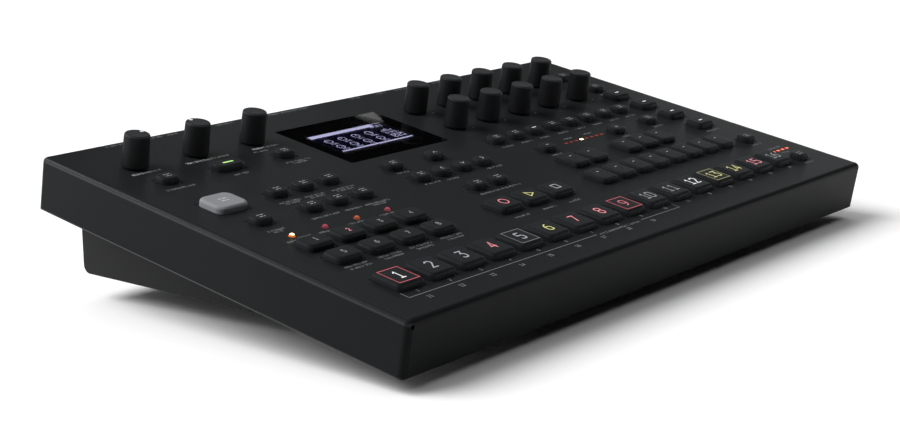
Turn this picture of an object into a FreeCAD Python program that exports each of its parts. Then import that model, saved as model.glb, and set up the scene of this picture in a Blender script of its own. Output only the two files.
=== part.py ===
import FreeCAD, Part

import math
import os
import re
from typing import NamedTuple

import Sketcher

# Desktop analog synthesizer: a tilted steel deck of keys, dials and a screen on a wedge-shaped base.
# Millimetres and degrees. The row frame has +X to the right, +Y to the rear and +Z up; its origin is the
# bottom centre of the whole object.
#
# Two working frames share one corner, the front left corner of the deck seen from above:
# - the deck frame, u to the right, v to the rear along the tilted panel, w out of the panel's top face;
# - the base frame, x to the right, y to the rear, z up from the desk.

SIZES = (
    ("width", 385.0, "deck, left to right"),
    ("deck_depth", 219.0, "deck, front to rear along the panel"),
    ("deck_thickness", 25.0, "deck, square to the panel"),
    ("sheet", 1.5, "steel of the top panel"),
    ("bend_radius", 2.5, "outer radius of every bend of the top panel"),
    ("tilt", 10.4, "degrees, panel against desk"),
    ("front_clearance", 6.7, "desk to the deck's lower front edge"),
    ("lip_width", 8.0, "inward return along the sides, which takes the case screws"),
    ("lip_drop", 22.2, "top face to the upper side of the return"),
    ("seam_inset", 2.8, "outer side to the seam beside each corner"),
    ("seam_gap", 0.3, "open width of a seam"),
    ("relief_size", 1.8, "square notch where three bends meet"),
    ("stud_radius", 2.9, "hexagonal studs and posts under the circuit boards"),
    ("first_column", 27.2, "left edge to the first key column"),
    ("column_pitch", 20.6625, "key columns"),
    ("step_row", 29.4, "front edge to the numbered step keys"),
    ("page_row", 59.2, "front edge to the page keys"),
    ("track_row", 75.2, "front edge to the track keys"),
    ("lamp_row", 88.4, "front edge to the track lamps"),
    ("function_column", 26.9, "left edge to the function key"),
    ("function_row", 129.4, "front edge to the function key"),
    ("left_button_column", 58.8, "left edge to the first of three small buttons"),
    ("left_button_pitch", 17.05, "between the three"),
    ("low_button_row", 107.0, "front edge to the nearer small buttons, left"),
    ("high_button_row", 128.2, "front edge to the farther small buttons, left"),
    ("under_dial_row", 165.5, "front edge to the buttons before the left dials"),
    ("transport_column", 140.2, "left edge to the record key"),
    ("transport_row", 61.8, "front edge to record, play and stop"),
    ("menu_column", 136.5, "left edge to the menu buttons"),
    ("menu_pitch", 15.7, "between menu buttons"),
    ("menu_row_near", 86.6, "front edge to the copy and paste pair"),
    ("menu_row_middle", 108.5, "front edge to the left, down and right arrows"),
    ("menu_row_far", 126.2, "front edge to the up arrow"),
    ("parameter_column", 219.6, "left edge to the first parameter button"),
    ("parameter_pitch", 16.4, "between parameter buttons"),
    ("parameter_row", 127.0, "front edge to the parameter buttons"),
    ("octave_column", 233.8, "left edge to the lower octave button"),
    ("octave_span", 64.5, "between the octave buttons"),
    ("octave_row", 104.8, "front edge to the octave buttons"),
    ("note_column", 221.4, "left edge to the first lower note key"),
    ("note_pitch", 16.27, "between note keys"),
    ("note_row_near", 62.4, "front edge to the lower note keys"),
    ("note_row_far", 84.9, "front edge to the upper note keys"),
    ("sound_row", 87.6, "front edge to the first sound key, right"),
    ("sound_pitch", 19.0, "between sound keys"),
    ("tempo_row", 57.7, "front edge to the tempo button, right"),
    ("fill_row", 24.3, "front edge to the button beside the step keys"),
    ("preset_column", 332.6, "left edge to the single button beside the sound keys"),
    ("upper_button_row", 159.8, "front edge to the nearer of two buttons, rear right"),
    ("rear_button_row", 183.6, "front edge to the farther one"),
    ("step_cap_width", 16.2, "numbered key, and its depth"),
    ("step_cap_depth", 16.2, "numbered key"),
    ("step_cap_height", 3.3, "top above the panel"),
    ("step_cap_bevel", 1.5, "slope round the top"),
    ("page_cap_width", 15.8, "track, page and sound keys"),
    ("page_cap_depth", 10.8, "track, page and sound keys"),
    ("page_cap_height", 3.3, "top above the panel"),
    ("page_cap_bevel", 1.4, "slope round the top"),
    ("transport_cap_width", 16.4, "record, play and stop"),
    ("transport_cap_depth", 13.6, "record, play and stop"),
    ("transport_cap_height", 3.3, "top above the panel"),
    ("transport_cap_bevel", 1.5, "slope round the top"),
    ("function_cap_width", 18.4, "function key"),
    ("function_cap_depth", 15.8, "function key"),
    ("function_cap_height", 3.3, "top above the panel"),
    ("function_cap_bevel", 1.3, "slope round the top"),
    ("note_cap_width", 12.7, "note keys"),
    ("note_cap_depth", 14.6, "note keys"),
    ("note_cap_height", 3.0, "top above the panel"),
    ("note_cap_bevel", 1.1, "slope round the top"),
    ("small_cap_width", 10.4, "small buttons"),
    ("small_cap_depth", 8.2, "small buttons"),
    ("small_cap_height", 2.8, "top above the panel"),
    ("small_cap_bevel", 1.0, "slope round the top"),
    ("wide_cap_width", 16.8, "wide button before the middle left dial"),
    ("wide_cap_depth", 8.2, "wide button"),
    ("wide_cap_height", 2.8, "top above the panel"),
    ("wide_cap_bevel", 1.0, "slope round the top"),
    ("cap_corner", 1.6, "cut across each upright corner of the function key"),
    ("key_gap", 0.3, "round a cap in its cut-out"),
    ("flange_reach", 0.8, "of a cap's flange past its cut-out"),
    ("flange_thickness", 1.1, "of that flange"),
    ("flange_gap", 0.1, "flange to the panel's underside at rest"),
    ("key_travel", 0.9, "of every key and button"),
    ("dial_row", 187.0, "front edge to the three left dials"),
    ("dial_pitch", 37.4, "between the left dials"),
    ("data_column", 219.8, "left edge to the first data dial"),
    ("data_row", 154.3, "front edge to the nearer data dials"),
    ("data_pitch", 27.85, "between data dials, both ways"),
    ("dial_base_radius", 6.3, "dial at its foot"),
    ("dial_taper", 1.5, "degrees, dial's side"),
    ("dial_edge", 0.7, "slope round a dial's top"),
    ("dial_height", 16.3, "top above the panel"),
    ("dial_gap", 0.8, "panel to a dial's foot"),
    ("shaft_radius", 2.95, "dial shaft"),
    ("shaft_flat", 1.9, "shaft's axis to each of its two flats"),
    ("shaft_reach", 7.4, "shaft below the panel's top face"),
    ("shaft_clearance", 0.07, "round the shaft in its bearing"),
    ("dial_hole_radius", 4.4, "six-sided hole in the panel round a shaft, to its corners"),
    ("board_top", 8.6, "panel's top face to the control board"),
    ("board_thickness", 1.6, "both circuit boards"),
    ("board_margin", 8.0, "deck edge to the control board"),
    ("switch_size", 6.0, "key switch, square"),
    ("encoder_size", 12.0, "encoder body, square"),
    ("encoder_top", 2.3, "panel's top face to the encoder body"),
    ("potentiometer_width", 9.6, "potentiometer body"),
    ("screen_column", 161.4, "left edge to the middle of the screen window"),
    ("screen_row", 167.2, "front edge to the middle of the screen window"),
    ("window_width", 74.2, "glossy pane"),
    ("window_depth", 52.0, "glossy pane"),
    ("window_gap", 0.15, "round the pane"),
    ("display_width", 58.0, "glass of the display"),
    ("display_depth", 29.0, "glass of the display"),
    ("display_drop", 1.8, "panel's top face to the display's glass"),
    ("carrier_reach", 3.0, "of the display's frame past the pane"),
    ("lamp_radius", 1.6, "track lamps"),
    ("lamp_proud", 0.6, "track lamps above the panel"),
    ("lamp_gap", 0.1, "round each lamp"),
    ("octave_lamp_column", 254.3, "left edge to the first of the row of small lamps"),
    ("octave_lamp_pitch", 4.7, "between them"),
    ("octave_lamp_row", 106.6, "front edge to them"),
    ("fill_lamp_column", 354.3, "left edge to the first page lamp"),
    ("fill_lamp_pitch", 4.9, "between page lamps"),
    ("fill_lamp_row", 37.6, "front edge to the page lamps"),
    ("small_lamp_width", 2.8, "small lamps"),
    ("small_lamp_depth", 1.6, "small lamps"),
    ("base_inset", 20.0, "deck side to base side"),
    ("base_sheet", 1.2, "steel of the base"),
    ("base_reach", 214.3, "front corner to the base's rear wall, level"),
    ("base_corner", 4.0, "bend at the base's rear lower edge"),
    ("foot_height", 12.5, "rubber feet"),
    ("foot_radius", 10.0, "foot, to the corners of its sides"),
    ("foot_edge", 1.0, "slope round a foot's lower edge"),
    ("foot_recess_radius", 3.8, "screw recess in a foot"),
    ("foot_recess_depth", 8.0, "screw recess in a foot"),
    ("foot_inset", 53.0, "base side to the feet"),
    ("front_foot", 60.0, "front corner to the front feet"),
    ("rear_foot", 190.0, "front corner to the rear feet"),
    ("plate_gap", 0.3, "base plate to the deck's walls"),
    ("floor_opening_front", 46.0, "front edge to the opening between deck and base"),
    ("floor_opening_rear", 203.0, "front edge to its rear side"),
    ("stand_spacing", 100.0, "square pattern of threaded holes"),
    ("stand_row", 125.0, "front corner to the middle of that pattern"),
    ("stand_hole_radius", 2.0, "its holes, threaded"),
    ("stand_nut_radius", 5.0, "hexagonal nut pressed in round each hole"),
    ("stand_nut_height", 5.0, "nut above the base plate"),
    ("jack_window_left", 33.0, "deck side to the opening for the jacks in the rear wall"),
    ("jack_window_right", 248.6, "deck side to its far end"),
    ("jack_window_low", 24.0, "desk to the opening for the jacks"),
    ("jack_window_high", 36.0, "desk to its upper side"),
    ("socket_window_right", 356.0, "deck side to the far end of the opening for the sockets"),
    ("socket_window_low", 23.0, "desk to the opening for the sockets"),
    ("socket_window_high", 40.6, "desk to its upper side"),
    ("rear_panel_left", 21.6, "deck side to the connector panel"),
    ("rear_panel_right", 363.4, "deck side to its far end"),
    ("rear_panel_low", 17.0, "desk to the connector panel"),
    ("rear_panel_high", 43.8, "desk to its upper side"),
    ("jack_column", 40.0, "deck side to the first audio jack"),
    ("jack_pitch", 16.8, "between audio jacks"),
    ("jack_axis", 30.0, "desk to the middle of the jacks"),
    ("jack_width", 16.2, "jack body"),
    ("jack_length", 22.0, "jack body behind the panel"),
    ("jack_sleeve_radius", 4.7, "jack sleeve through the panel"),
    ("jack_proud", 4.6, "sleeve past the base's rear wall"),
    ("jack_bore_radius", 3.25, "for a 6.35 mm plug"),
    ("jack_bore_depth", 26.0, "for a 6.35 mm plug"),
    ("main_board_top", 23.5, "desk to the main board, under the connectors"),
    ("main_board_front", 118.0, "front corner to the main board"),
    ("midi_column", 262.5, "deck side to the first five-pin socket"),
    ("midi_pitch", 21.5, "between five-pin sockets"),
    ("midi_width", 21.0, "socket body"),
    ("midi_axis", 31.8, "desk to the middle of the sockets"),
    ("midi_shell_radius", 8.0, "round face of a socket"),
    ("midi_slot_outer", 7.4, "ring slot for the plug's shell"),
    ("midi_slot_inner", 6.5, "inner side of that slot"),
    ("midi_pin_circle", 4.45, "radius that the pins lie on"),
    ("midi_pin_radius", 0.75, "a pin's hole"),
    ("midi_depth", 12.0, "socket body behind the panel"),
    ("usb_column", 323.0, "deck side to the computer socket"),
    ("usb_width", 12.0, "computer socket"),
    ("usb_height", 10.8, "computer socket"),
    ("usb_mouth_width", 8.5, "its mouth"),
    ("usb_mouth_height", 7.8, "its mouth"),
    ("usb_tongue_width", 5.6, "its contact tongue"),
    ("usb_tongue_height", 3.2, "its contact tongue"),
    ("inlet_column", 336.2, "deck side to the power inlet"),
    ("inlet_width", 9.2, "power inlet body"),
    ("inlet_mouth_radius", 3.0, "mouth for a 5.5 mm barrel"),
    ("inlet_pin_radius", 1.2, "its centre pin"),
    ("inlet_depth", 9.5, "its mouth"),
    ("socket_proud", 1.0, "sockets past the connector panel"),
    ("power_column", 349.6, "deck side to the power button"),
    ("power_axis", 29.8, "desk to the power button"),
    ("power_body", 12.0, "power switch body, square"),
    ("power_button_size", 7.6, "power button, square"),
    ("power_button_gap", 0.4, "round the power button"),
    ("power_button_proud", 9.0, "button past the rear wall, latched in"),
    ("power_button_root", 5.0, "button inside the switch, latched in"),
    ("power_travel", 2.5, "of the power button, out to its released place"),
    ("case_screw_radius", 1.5, "shank of the case screws"),
    ("case_head_radius", 2.8, "their heads"),
    ("case_head_height", 1.6, "their heads"),
    ("case_screw_inset", 6.5, "deck side to the case screws"),
    ("case_screw_front", 24.0, "deck edge to the first and last case screw"),
)
ALIASES = {alias for alias, _, _ in SIZES}
TILT = "(tilt * 1 deg)"
XY, XZ, YZ = "XY_Plane", "XZ_Plane", "YZ_Plane"

doc = FreeCAD.newDocument("Synthesizer")
sheet = doc.addObject("Spreadsheet::Sheet", "Sizes")
for row, (alias, number, note) in enumerate(SIZES, 1):
    sheet.set(f"A{row}", note)
    sheet.set(f"B{row}", str(number))
    sheet.setAlias(f"B{row}", alias)
doc.recompute()


# Expressions: a text such as "first_column + 3 * column_pitch" is bound to the sheet's cells.

def in_sheet(text):
    """The expression with the sheet's name before each alias in it."""
    return re.sub(r"[a-z][a-z_]*", lambda word: "Sizes." * (word[0] in ALIASES) + word[0], str(text))


def value(text):
    """What an expression comes to now."""
    result = sheet.evalExpression(in_sheet(text))
    return float(getattr(result, "Value", result))


def deck_level(v, w):
    """y in the base frame of a point (v, w) of the deck frame."""
    return f"(({v}) * cos{TILT} - ({w}) * sin{TILT})"


def deck_rise(v, w):
    """z in the base frame of a point (v, w) of the deck frame."""
    return f"(front_clearance + ({v}) * sin{TILT} + (deck_thickness + ({w})) * cos{TILT})"


def lifted(distance):
    """A plane moved along its own normal."""
    return f"placement(vector(0; 0; {distance}); rotation(vector(0; 0; 1); 0))"


def tilted(w):
    """The deck's plane at a height w, seen from the base frame."""
    return f"placement(vector(0; {deck_level(0, w)}; {deck_rise(0, w)}); rotation(vector(1; 0; 0); {TILT}))"


# The lower front bend and the power button are the ends of the object, and its middle is y = 0.
FRONT = f"(0 - (bend_radius * (cos{TILT} + sin{TILT} - 1) + base_reach + power_button_proud) / 2)"
BASE_FRAME = f"placement(vector(0 - width / 2; {FRONT}; 0); rotation(vector(0; 0; 1); 0))"
DECK_FRAME = (
    f"placement(vector(0 - width / 2; {FRONT}; {deck_rise(0, 0)}); rotation(vector(1; 0; 0); {TILT}))"
)
DECK = "top_panel.Placement"


# Sub-parts: bodies of sketches and features.

def new_body(label, frame):
    body = doc.addObject("PartDesign::Body", label)
    body.Label = label
    body.setExpression("Placement", in_sheet(frame))
    return body


def new_sketch(body, role, offset, name):
    """A sketch on one of the body's own origin planes, moved by an offset."""
    plane = next(item for item in body.Origin.OriginFeatures if item.Role == role)
    sketch = body.newObject("Sketcher::SketchObject", f"{body.Name}_{name}_sketch")
    sketch.AttachmentSupport = [(plane, "")]
    sketch.MapMode = "FlatFace"
    sketch.setExpression("AttachmentOffset", in_sheet(offset))
    return sketch


def bind(sketch, constraints, bindings):
    """Adds constraints, and ties the ones that carry a size to their expressions."""
    first = sketch.ConstraintCount
    sketch.addConstraint(constraints)
    for index, text in bindings:
        sketch.setExpression(f"Constraints[{first + index}]", in_sheet(text))


def draw_rectangles(sketch, centres, width, depth):
    for x, y in centres:
        line = sketch.GeometryCount
        left, near = value(f"{x} - ({width}) / 2"), value(f"{y} - ({depth}) / 2")
        right, far = left + value(width), near + value(depth)
        corners = [(left, near), (right, near), (right, far), (left, far)]
        points = [FreeCAD.Vector(a, b, 0) for a, b in corners]
        sides = [Part.LineSegment(points[i], points[(i + 1) % 4]) for i in range(4)]
        sketch.addGeometry(sides, False)
        joined = [Sketcher.Constraint("Coincident", line + i, 2, line + (i + 1) % 4, 1) for i in range(4)]
        level = [Sketcher.Constraint("Horizontal", line + i) for i in (0, 2)]
        upright = [Sketcher.Constraint("Vertical", line + i) for i in (1, 3)]
        sizes = [
            Sketcher.Constraint("DistanceX", line, 1, line, 2, right - left),
            Sketcher.Constraint("DistanceY", line + 1, 1, line + 1, 2, far - near),
            Sketcher.Constraint("DistanceX", -1, 1, line, 1, left),
            Sketcher.Constraint("DistanceY", -1, 1, line, 1, near),
        ]
        texts = [width, depth, f"{x} - ({width}) / 2", f"{y} - ({depth}) / 2"]
        bind(sketch, joined + level + upright + sizes, list(enumerate(texts, 8)))


def draw_circles(sketch, centres, radius):
    for x, y in centres:
        circle = sketch.GeometryCount
        middle = FreeCAD.Vector(value(x), value(y), 0)
        sketch.addGeometry(Part.Circle(middle, FreeCAD.Vector(0, 0, 1), value(radius)), False)
        constraints = [
            Sketcher.Constraint("Radius", circle, value(radius)),
            Sketcher.Constraint("DistanceX", -1, 1, circle, 3, middle.x),
            Sketcher.Constraint("DistanceY", -1, 1, circle, 3, middle.y),
        ]
        bind(sketch, constraints, [(0, radius), (1, x), (2, y)])


def draw_flatted_circle(sketch, radius, flat):
    """A circle about the sketch's origin with a flat at the top and one at the bottom."""
    r, height = value(radius), value(flat)
    turn = math.asin(height / r)
    circle = Part.Circle(FreeCAD.Vector(0, 0, 0), FreeCAD.Vector(0, 0, 1), r)
    end = FreeCAD.Vector(r * math.cos(turn), height, 0)
    right, left = (Part.ArcOfCircle(circle, start - turn, start + turn) for start in (0, math.pi))
    top = Part.LineSegment(end, FreeCAD.Vector(-end.x, end.y, 0))
    bottom = Part.LineSegment(-end, FreeCAD.Vector(end.x, -end.y, 0))
    sketch.addGeometry([right, top, left, bottom], False)
    joined = [Sketcher.Constraint("Coincident", i, 2, (i + 1) % 4, 1) for i in range(4)]
    centred = [Sketcher.Constraint("Coincident", i, 3, -1, 1) for i in (0, 2)]
    level = [Sketcher.Constraint("Horizontal", i) for i in (1, 3)]
    sizes = [
        Sketcher.Constraint("Radius", 0, r),
        Sketcher.Constraint("DistanceY", -1, 1, 1, 1, height),
        Sketcher.Constraint("DistanceY", 3, 1, -1, 1, height),
    ]
    bind(sketch, joined + centred + level + sizes, [(8, radius), (9, flat), (10, flat)])


def draw_outline(sketch, corners):
    """A closed outline of straight lines through corners given as pairs of expressions."""
    line, count = sketch.GeometryCount, len(corners)
    points = [FreeCAD.Vector(value(x), value(y), 0) for x, y in corners]
    after = [(i + 1) % count for i in range(count)]
    sketch.addGeometry([Part.LineSegment(points[i], points[j]) for i, j in enumerate(after)], False)
    constraints = [Sketcher.Constraint("Coincident", line + i, 2, line + j, 1) for i, j in enumerate(after)]
    bindings = []
    for i, (x, y) in enumerate(corners):
        bindings += [(len(constraints), x), (len(constraints) + 1, y)]
        constraints += [
            Sketcher.Constraint("DistanceX", -1, 1, line + i, 1, points[i].x),
            Sketcher.Constraint("DistanceY", -1, 1, line + i, 1, points[i].y),
        ]
    bind(sketch, constraints, bindings)


def on_circle(centre, radius, angle):
    """The point at an angle on a circle, as a pair of expressions."""
    x, y = centre
    return f"{x} + ({radius}) * {math.cos(angle):.6f}", f"{y} + ({radius}) * {math.sin(angle):.6f}"


def draw_polygons(sketch, centres, sides, radius):
    """Regular polygons with a flat side down, by the radius to their corners."""
    angles = [math.pi * (2 * i + 1) / sides - math.pi / 2 for i in range(sides)]
    for place in centres:
        draw_outline(sketch, [on_circle(place, radius, angle) for angle in angles])


def clear_of(radius, sides):
    """The radius to the corners of a polygon whose flats stay outside a round part."""
    return f"({radius}) / {math.cos(math.pi / sides):.6f}"


def add_feature(body, kind, name, sketch, length, reverse):
    feature = body.newObject(f"PartDesign::{kind}", f"{body.Name}_{name}")
    feature.Profile = sketch
    feature.Reversed = reverse
    feature.setExpression("Length", in_sheet(length))
    return feature


def pad(body, name, sketch, length, reverse=False):
    return add_feature(body, "Pad", name, sketch, length, reverse)


def pocket(body, name, sketch, length, reverse=False):
    """A cut against the sketch's normal, or along it when reversed."""
    return add_feature(body, "Pocket", name, sketch, length, reverse)


def dress_edges(body, kind, name, base, wanted, size):
    """A Fillet or Chamfer on the edges of the base feature that pass a test."""
    doc.recompute()
    names = [f"Edge{i}" for i, edge in enumerate(base.Shape.Edges, 1) if wanted(edge)]
    if not names:
        raise ValueError(f"{body.Name}_{name} found no edge")
    feature = body.newObject(f"PartDesign::{kind}", f"{body.Name}_{name}")
    feature.Base = (base, names)
    feature.setExpression("Radius" if kind == "Fillet" else "Size", in_sheet(size))
    return feature


def level_at(height):
    """A test for level edges at a height of the body's own frame."""
    z = value(height)
    return lambda edge: all(abs(vertex.Z - z) < 1e-6 for vertex in edge.Vertexes)


def rises_above(height):
    """A test for upright edges that reach above a height."""
    z = value(height)

    def test(edge):
        box = edge.BoundBox
        return box.ZMax > z + 1e-6 and box.ZLength > 1e-6 and box.XLength < 1e-6 and box.YLength < 1e-6

    return test


def within(places, width, depth):
    """A test for edges over a rectangle of one size at any of the places."""
    reach_x, reach_y = value(width) / 2 + 1e-3, value(depth) / 2 + 1e-3
    middles = [(value(x), value(y)) for x, y in places]

    def test(edge):
        middle = edge.BoundBox.Center
        return any(abs(middle.x - x) < reach_x and abs(middle.y - y) < reach_y for x, y in middles)

    return test


def draft_sides(body, name, base, foot, angle):
    """Tapers the upright faces of a feature, narrower towards +Z, about its level face at a height."""
    doc.recompute()
    faces = list(enumerate(base.Shape.Faces, 1))
    upright = [f"Face{i}" for i, face in faces if abs(face.normalAt(0, 0).z) < 1e-6]
    level = [f"Face{i}" for i, face in faces if abs(face.BoundBox.ZMax - value(foot)) < 1e-6]
    taper = body.newObject("PartDesign::Draft", f"{body.Name}_{name}")
    taper.Base = (base, upright)
    taper.NeutralPlane = (base, level[:1])
    taper.setExpression("Angle", in_sheet(angle))
    return taper


def corners_of(left, right, low, high):
    """The corners of an upright rectangle, from its four sides."""
    return [(left, low), (right, low), (right, high), (left, high)]


class Grid(NamedTuple):
    """Places in rows and columns: the first place, then how many there are and how far apart, each way."""

    x: str
    y: str
    across: int = 1
    pitch_x: str = "0"
    along: int = 1
    pitch_y: str = "0"

    @property
    def first(self):
        return [(self.x, self.y)]

    def row(self, index):
        return Grid(self.x, f"{self.y} + {index} * ({self.pitch_y})", self.across, self.pitch_x)

    def places(self):
        return [
            (f"{self.x} + {i} * ({self.pitch_x})", f"{self.y} + {j} * ({self.pitch_y})")
            for j in range(self.along) for i in range(self.across)
        ]


def repeat(body, features, grid):
    """Repeats pads and pockets over a grid, along the axes of the first one's sketch."""
    if grid.across * grid.along == 1:
        return
    pattern = body.newObject("PartDesign::LinearPattern", f"{features[0].Name}_grid")
    pattern.Originals = features
    sketch = features[0].Profile[0]
    ways = [("H_Axis", grid.across, grid.pitch_x), ("V_Axis", grid.along, grid.pitch_y)]
    for suffix, (axis, count, pitch) in zip(("", "2"), [way for way in ways if way[1] > 1]):
        setattr(pattern, f"Direction{suffix}", (sketch, [axis]))
        setattr(pattern, f"Mode{suffix}", "Extent")
        setattr(pattern, f"Occurrences{suffix}", count)
        pattern.setExpression(f"Length{suffix}", in_sheet(f"{count - 1} * ({pitch})"))
    body.Tip = pattern


# Small round parts that come in numbers have this many sides.
DIAL_SIDES = 18
SHAFT_SIDES = 8
LAMP_SIDES = 10
JACK_SIDES = 8
SOCKET_SIDES = 10
FOOT_SIDES = 12
HEAD_SIDES = 8

# The keys: what each group is called, and where its caps of each kind stand on the deck.

CUT_CORNER_CAPS = ("function",)


def column(index):
    return f"first_column + {index} * column_pitch"


class KeyGroup(NamedTuple):
    """Caps that move as one piece: for each kind of cap, the grids where it stands."""

    label: str
    caps: dict


RIGHT_COLUMN = column(16)
STEP_ROW = Grid("first_column", "step_row", 16, "column_pitch")
TRANSPORT_ROW = Grid("transport_column", "transport_row", 3, "column_pitch")
SINGLE_KEYS = [
    KeyGroup(label, {cap: [Grid(*place)]})
    for cap, labels, row in (
        ("step", [f"step_key_{index:02d}" for index in range(1, 17)], STEP_ROW),
        ("transport", ["record_key", "play_key", "stop_key"], TRANSPORT_ROW),
    )
    for label, place in zip(labels, row.places())
]
SHARED_KEYS = [
    KeyGroup("function_key", {"function": [Grid("function_column", "function_row")]}),
    KeyGroup("track_keys", {"page": [Grid("first_column", "track_row", 4, "column_pitch")]}),
    KeyGroup("page_keys", {"page": [Grid("first_column", "page_row", 4, "column_pitch")]}),
    KeyGroup("sound_keys", {"page": [Grid(RIGHT_COLUMN, "sound_row", along=4, pitch_y="sound_pitch")]}),
    KeyGroup("note_keys", {"note": [
        Grid("note_column", "note_row_near", 8, "note_pitch"),
        Grid("note_column + 0.5 * note_pitch", "note_row_far", 2, "note_pitch"),
        Grid("note_column + 3.5 * note_pitch", "note_row_far", 3, "note_pitch"),
    ]}),
    KeyGroup("parameter_buttons", {"small": [
        Grid("parameter_column", "parameter_row", 8, "parameter_pitch"),
        Grid("octave_column", "octave_row", 2, "octave_span"),
    ]}),
    KeyGroup("menu_buttons", {"small": [
        Grid("menu_column + menu_pitch", "menu_row_near", 2, "menu_pitch"),
        Grid("menu_column", "menu_row_middle", 4, "menu_pitch"),
        Grid("menu_column", "menu_row_far", 2, "2 * menu_pitch"),
    ]}),
    KeyGroup("left_buttons", {
        "small": [
            Grid("left_button_column", "low_button_row", 3, "left_button_pitch"),
            Grid("left_button_column", "high_button_row", 3, "left_button_pitch"),
            Grid("first_column", "low_button_row"),
            Grid("first_column", "under_dial_row", 2, "2 * dial_pitch"),
        ],
        "wide": [Grid("first_column + dial_pitch", "under_dial_row")],
    }),
    KeyGroup("right_buttons", {"small": [
        Grid(RIGHT_COLUMN, "fill_row", along=2, pitch_y="tempo_row - fill_row"),
        Grid(RIGHT_COLUMN, "upper_button_row", along=2, pitch_y="rear_button_row - upper_button_row"),
        Grid("preset_column", "sound_row + sound_pitch"),
    ]}),
]
KEY_GROUPS = SINGLE_KEYS + SHARED_KEYS


def caps_of(*labels):
    """Each kind of cap of the named groups with a grid where it stands."""
    return [
        (cap, grid)
        for group in SHARED_KEYS if group.label in labels
        for cap, grids in group.caps.items() for grid in grids
    ]


# The keys by areas of the panel, for the cut-outs and the switches.
KEY_AREAS = {
    "step_row": [("step", STEP_ROW)],
    "track_rows": [("transport", TRANSPORT_ROW)] + caps_of("function_key", "track_keys", "page_keys"),
    "left": caps_of("left_buttons"),
    "menu": caps_of("menu_buttons"),
    "notes": caps_of("note_keys"),
    "parameters": caps_of("parameter_buttons"),
    "right": caps_of("sound_keys", "right_buttons"),
}

# The dials: the first two turn a potentiometer and have a pointer, the others turn an encoder.
POINTER_GRID = Grid("first_column", "dial_row", 2, "dial_pitch")
LEVEL_GRID = Grid("first_column + 2 * dial_pitch", "dial_row")
DATA_GRID = Grid("data_column", "data_row", 5, "data_pitch", 2, "data_pitch")
DIALS = dict(zip(["volume_dial", "performance_dial"], POINTER_GRID.places()))
DIALS.update(zip(["level_dial"] + [f"data_dial_{letter}" for letter in "fghijabcde"],
                 LEVEL_GRID.places() + DATA_GRID.places()))

TRACK_LAMPS = Grid("first_column", "lamp_row", 4, "column_pitch")
OCTAVE_LAMPS = Grid("octave_lamp_column", "octave_lamp_row", 8, "octave_lamp_pitch")
FILL_LAMPS = Grid("fill_lamp_column", "fill_lamp_row", 4, "fill_lamp_pitch")
SCREEN = Grid("screen_column", "screen_row")
STUDS = Grid(
    "2 * case_screw_inset", "board_margin + 5",
    4, "(width - 4 * case_screw_inset) / 3", 2, "deck_depth - 2 * board_margin - 10",
)
CASE_SCREWS = Grid(
    "case_screw_inset", "case_screw_front",
    2, "width - 2 * case_screw_inset", 2, "deck_depth - 2 * case_screw_front",
)
FEET = Grid(
    "base_inset + foot_inset", "front_foot",
    2, "width - 2 * (base_inset + foot_inset)", 2, "rear_foot - front_foot",
)
STAND_HOLES = Grid(
    "width / 2 - stand_spacing / 2", "stand_row - stand_spacing / 2", 2, "stand_spacing", 2, "stand_spacing",
)
BOARD_POSTS = Grid(
    "base_inset + 20", "main_board_front + 6",
    3, "width / 2 - base_inset - 20", 2, "base_reach - 40 - main_board_front",
)
JACKS = Grid("jack_column", "jack_axis", 13, "jack_pitch")
OUTPUT_JACKS = Grid("jack_column", "jack_axis", 3, "jack_pitch")
OTHER_JACKS = Grid("jack_column + 3 * jack_pitch", "jack_axis", 10, "jack_pitch")
MIDI_SOCKETS = Grid("midi_column", "midi_axis", 3, "midi_pitch")
USB_SOCKET = Grid("usb_column", "main_board_top + usb_height / 2")
POWER_INLET = Grid("inlet_column", "main_board_top + inlet_width / 2")
POWER_BUTTON = Grid("power_column", "power_axis")
CONNECTOR_FACE = "base_reach - base_sheet"
CONNECTOR_BACK = "base_reach - base_sheet - sheet"


# The deck.

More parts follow.
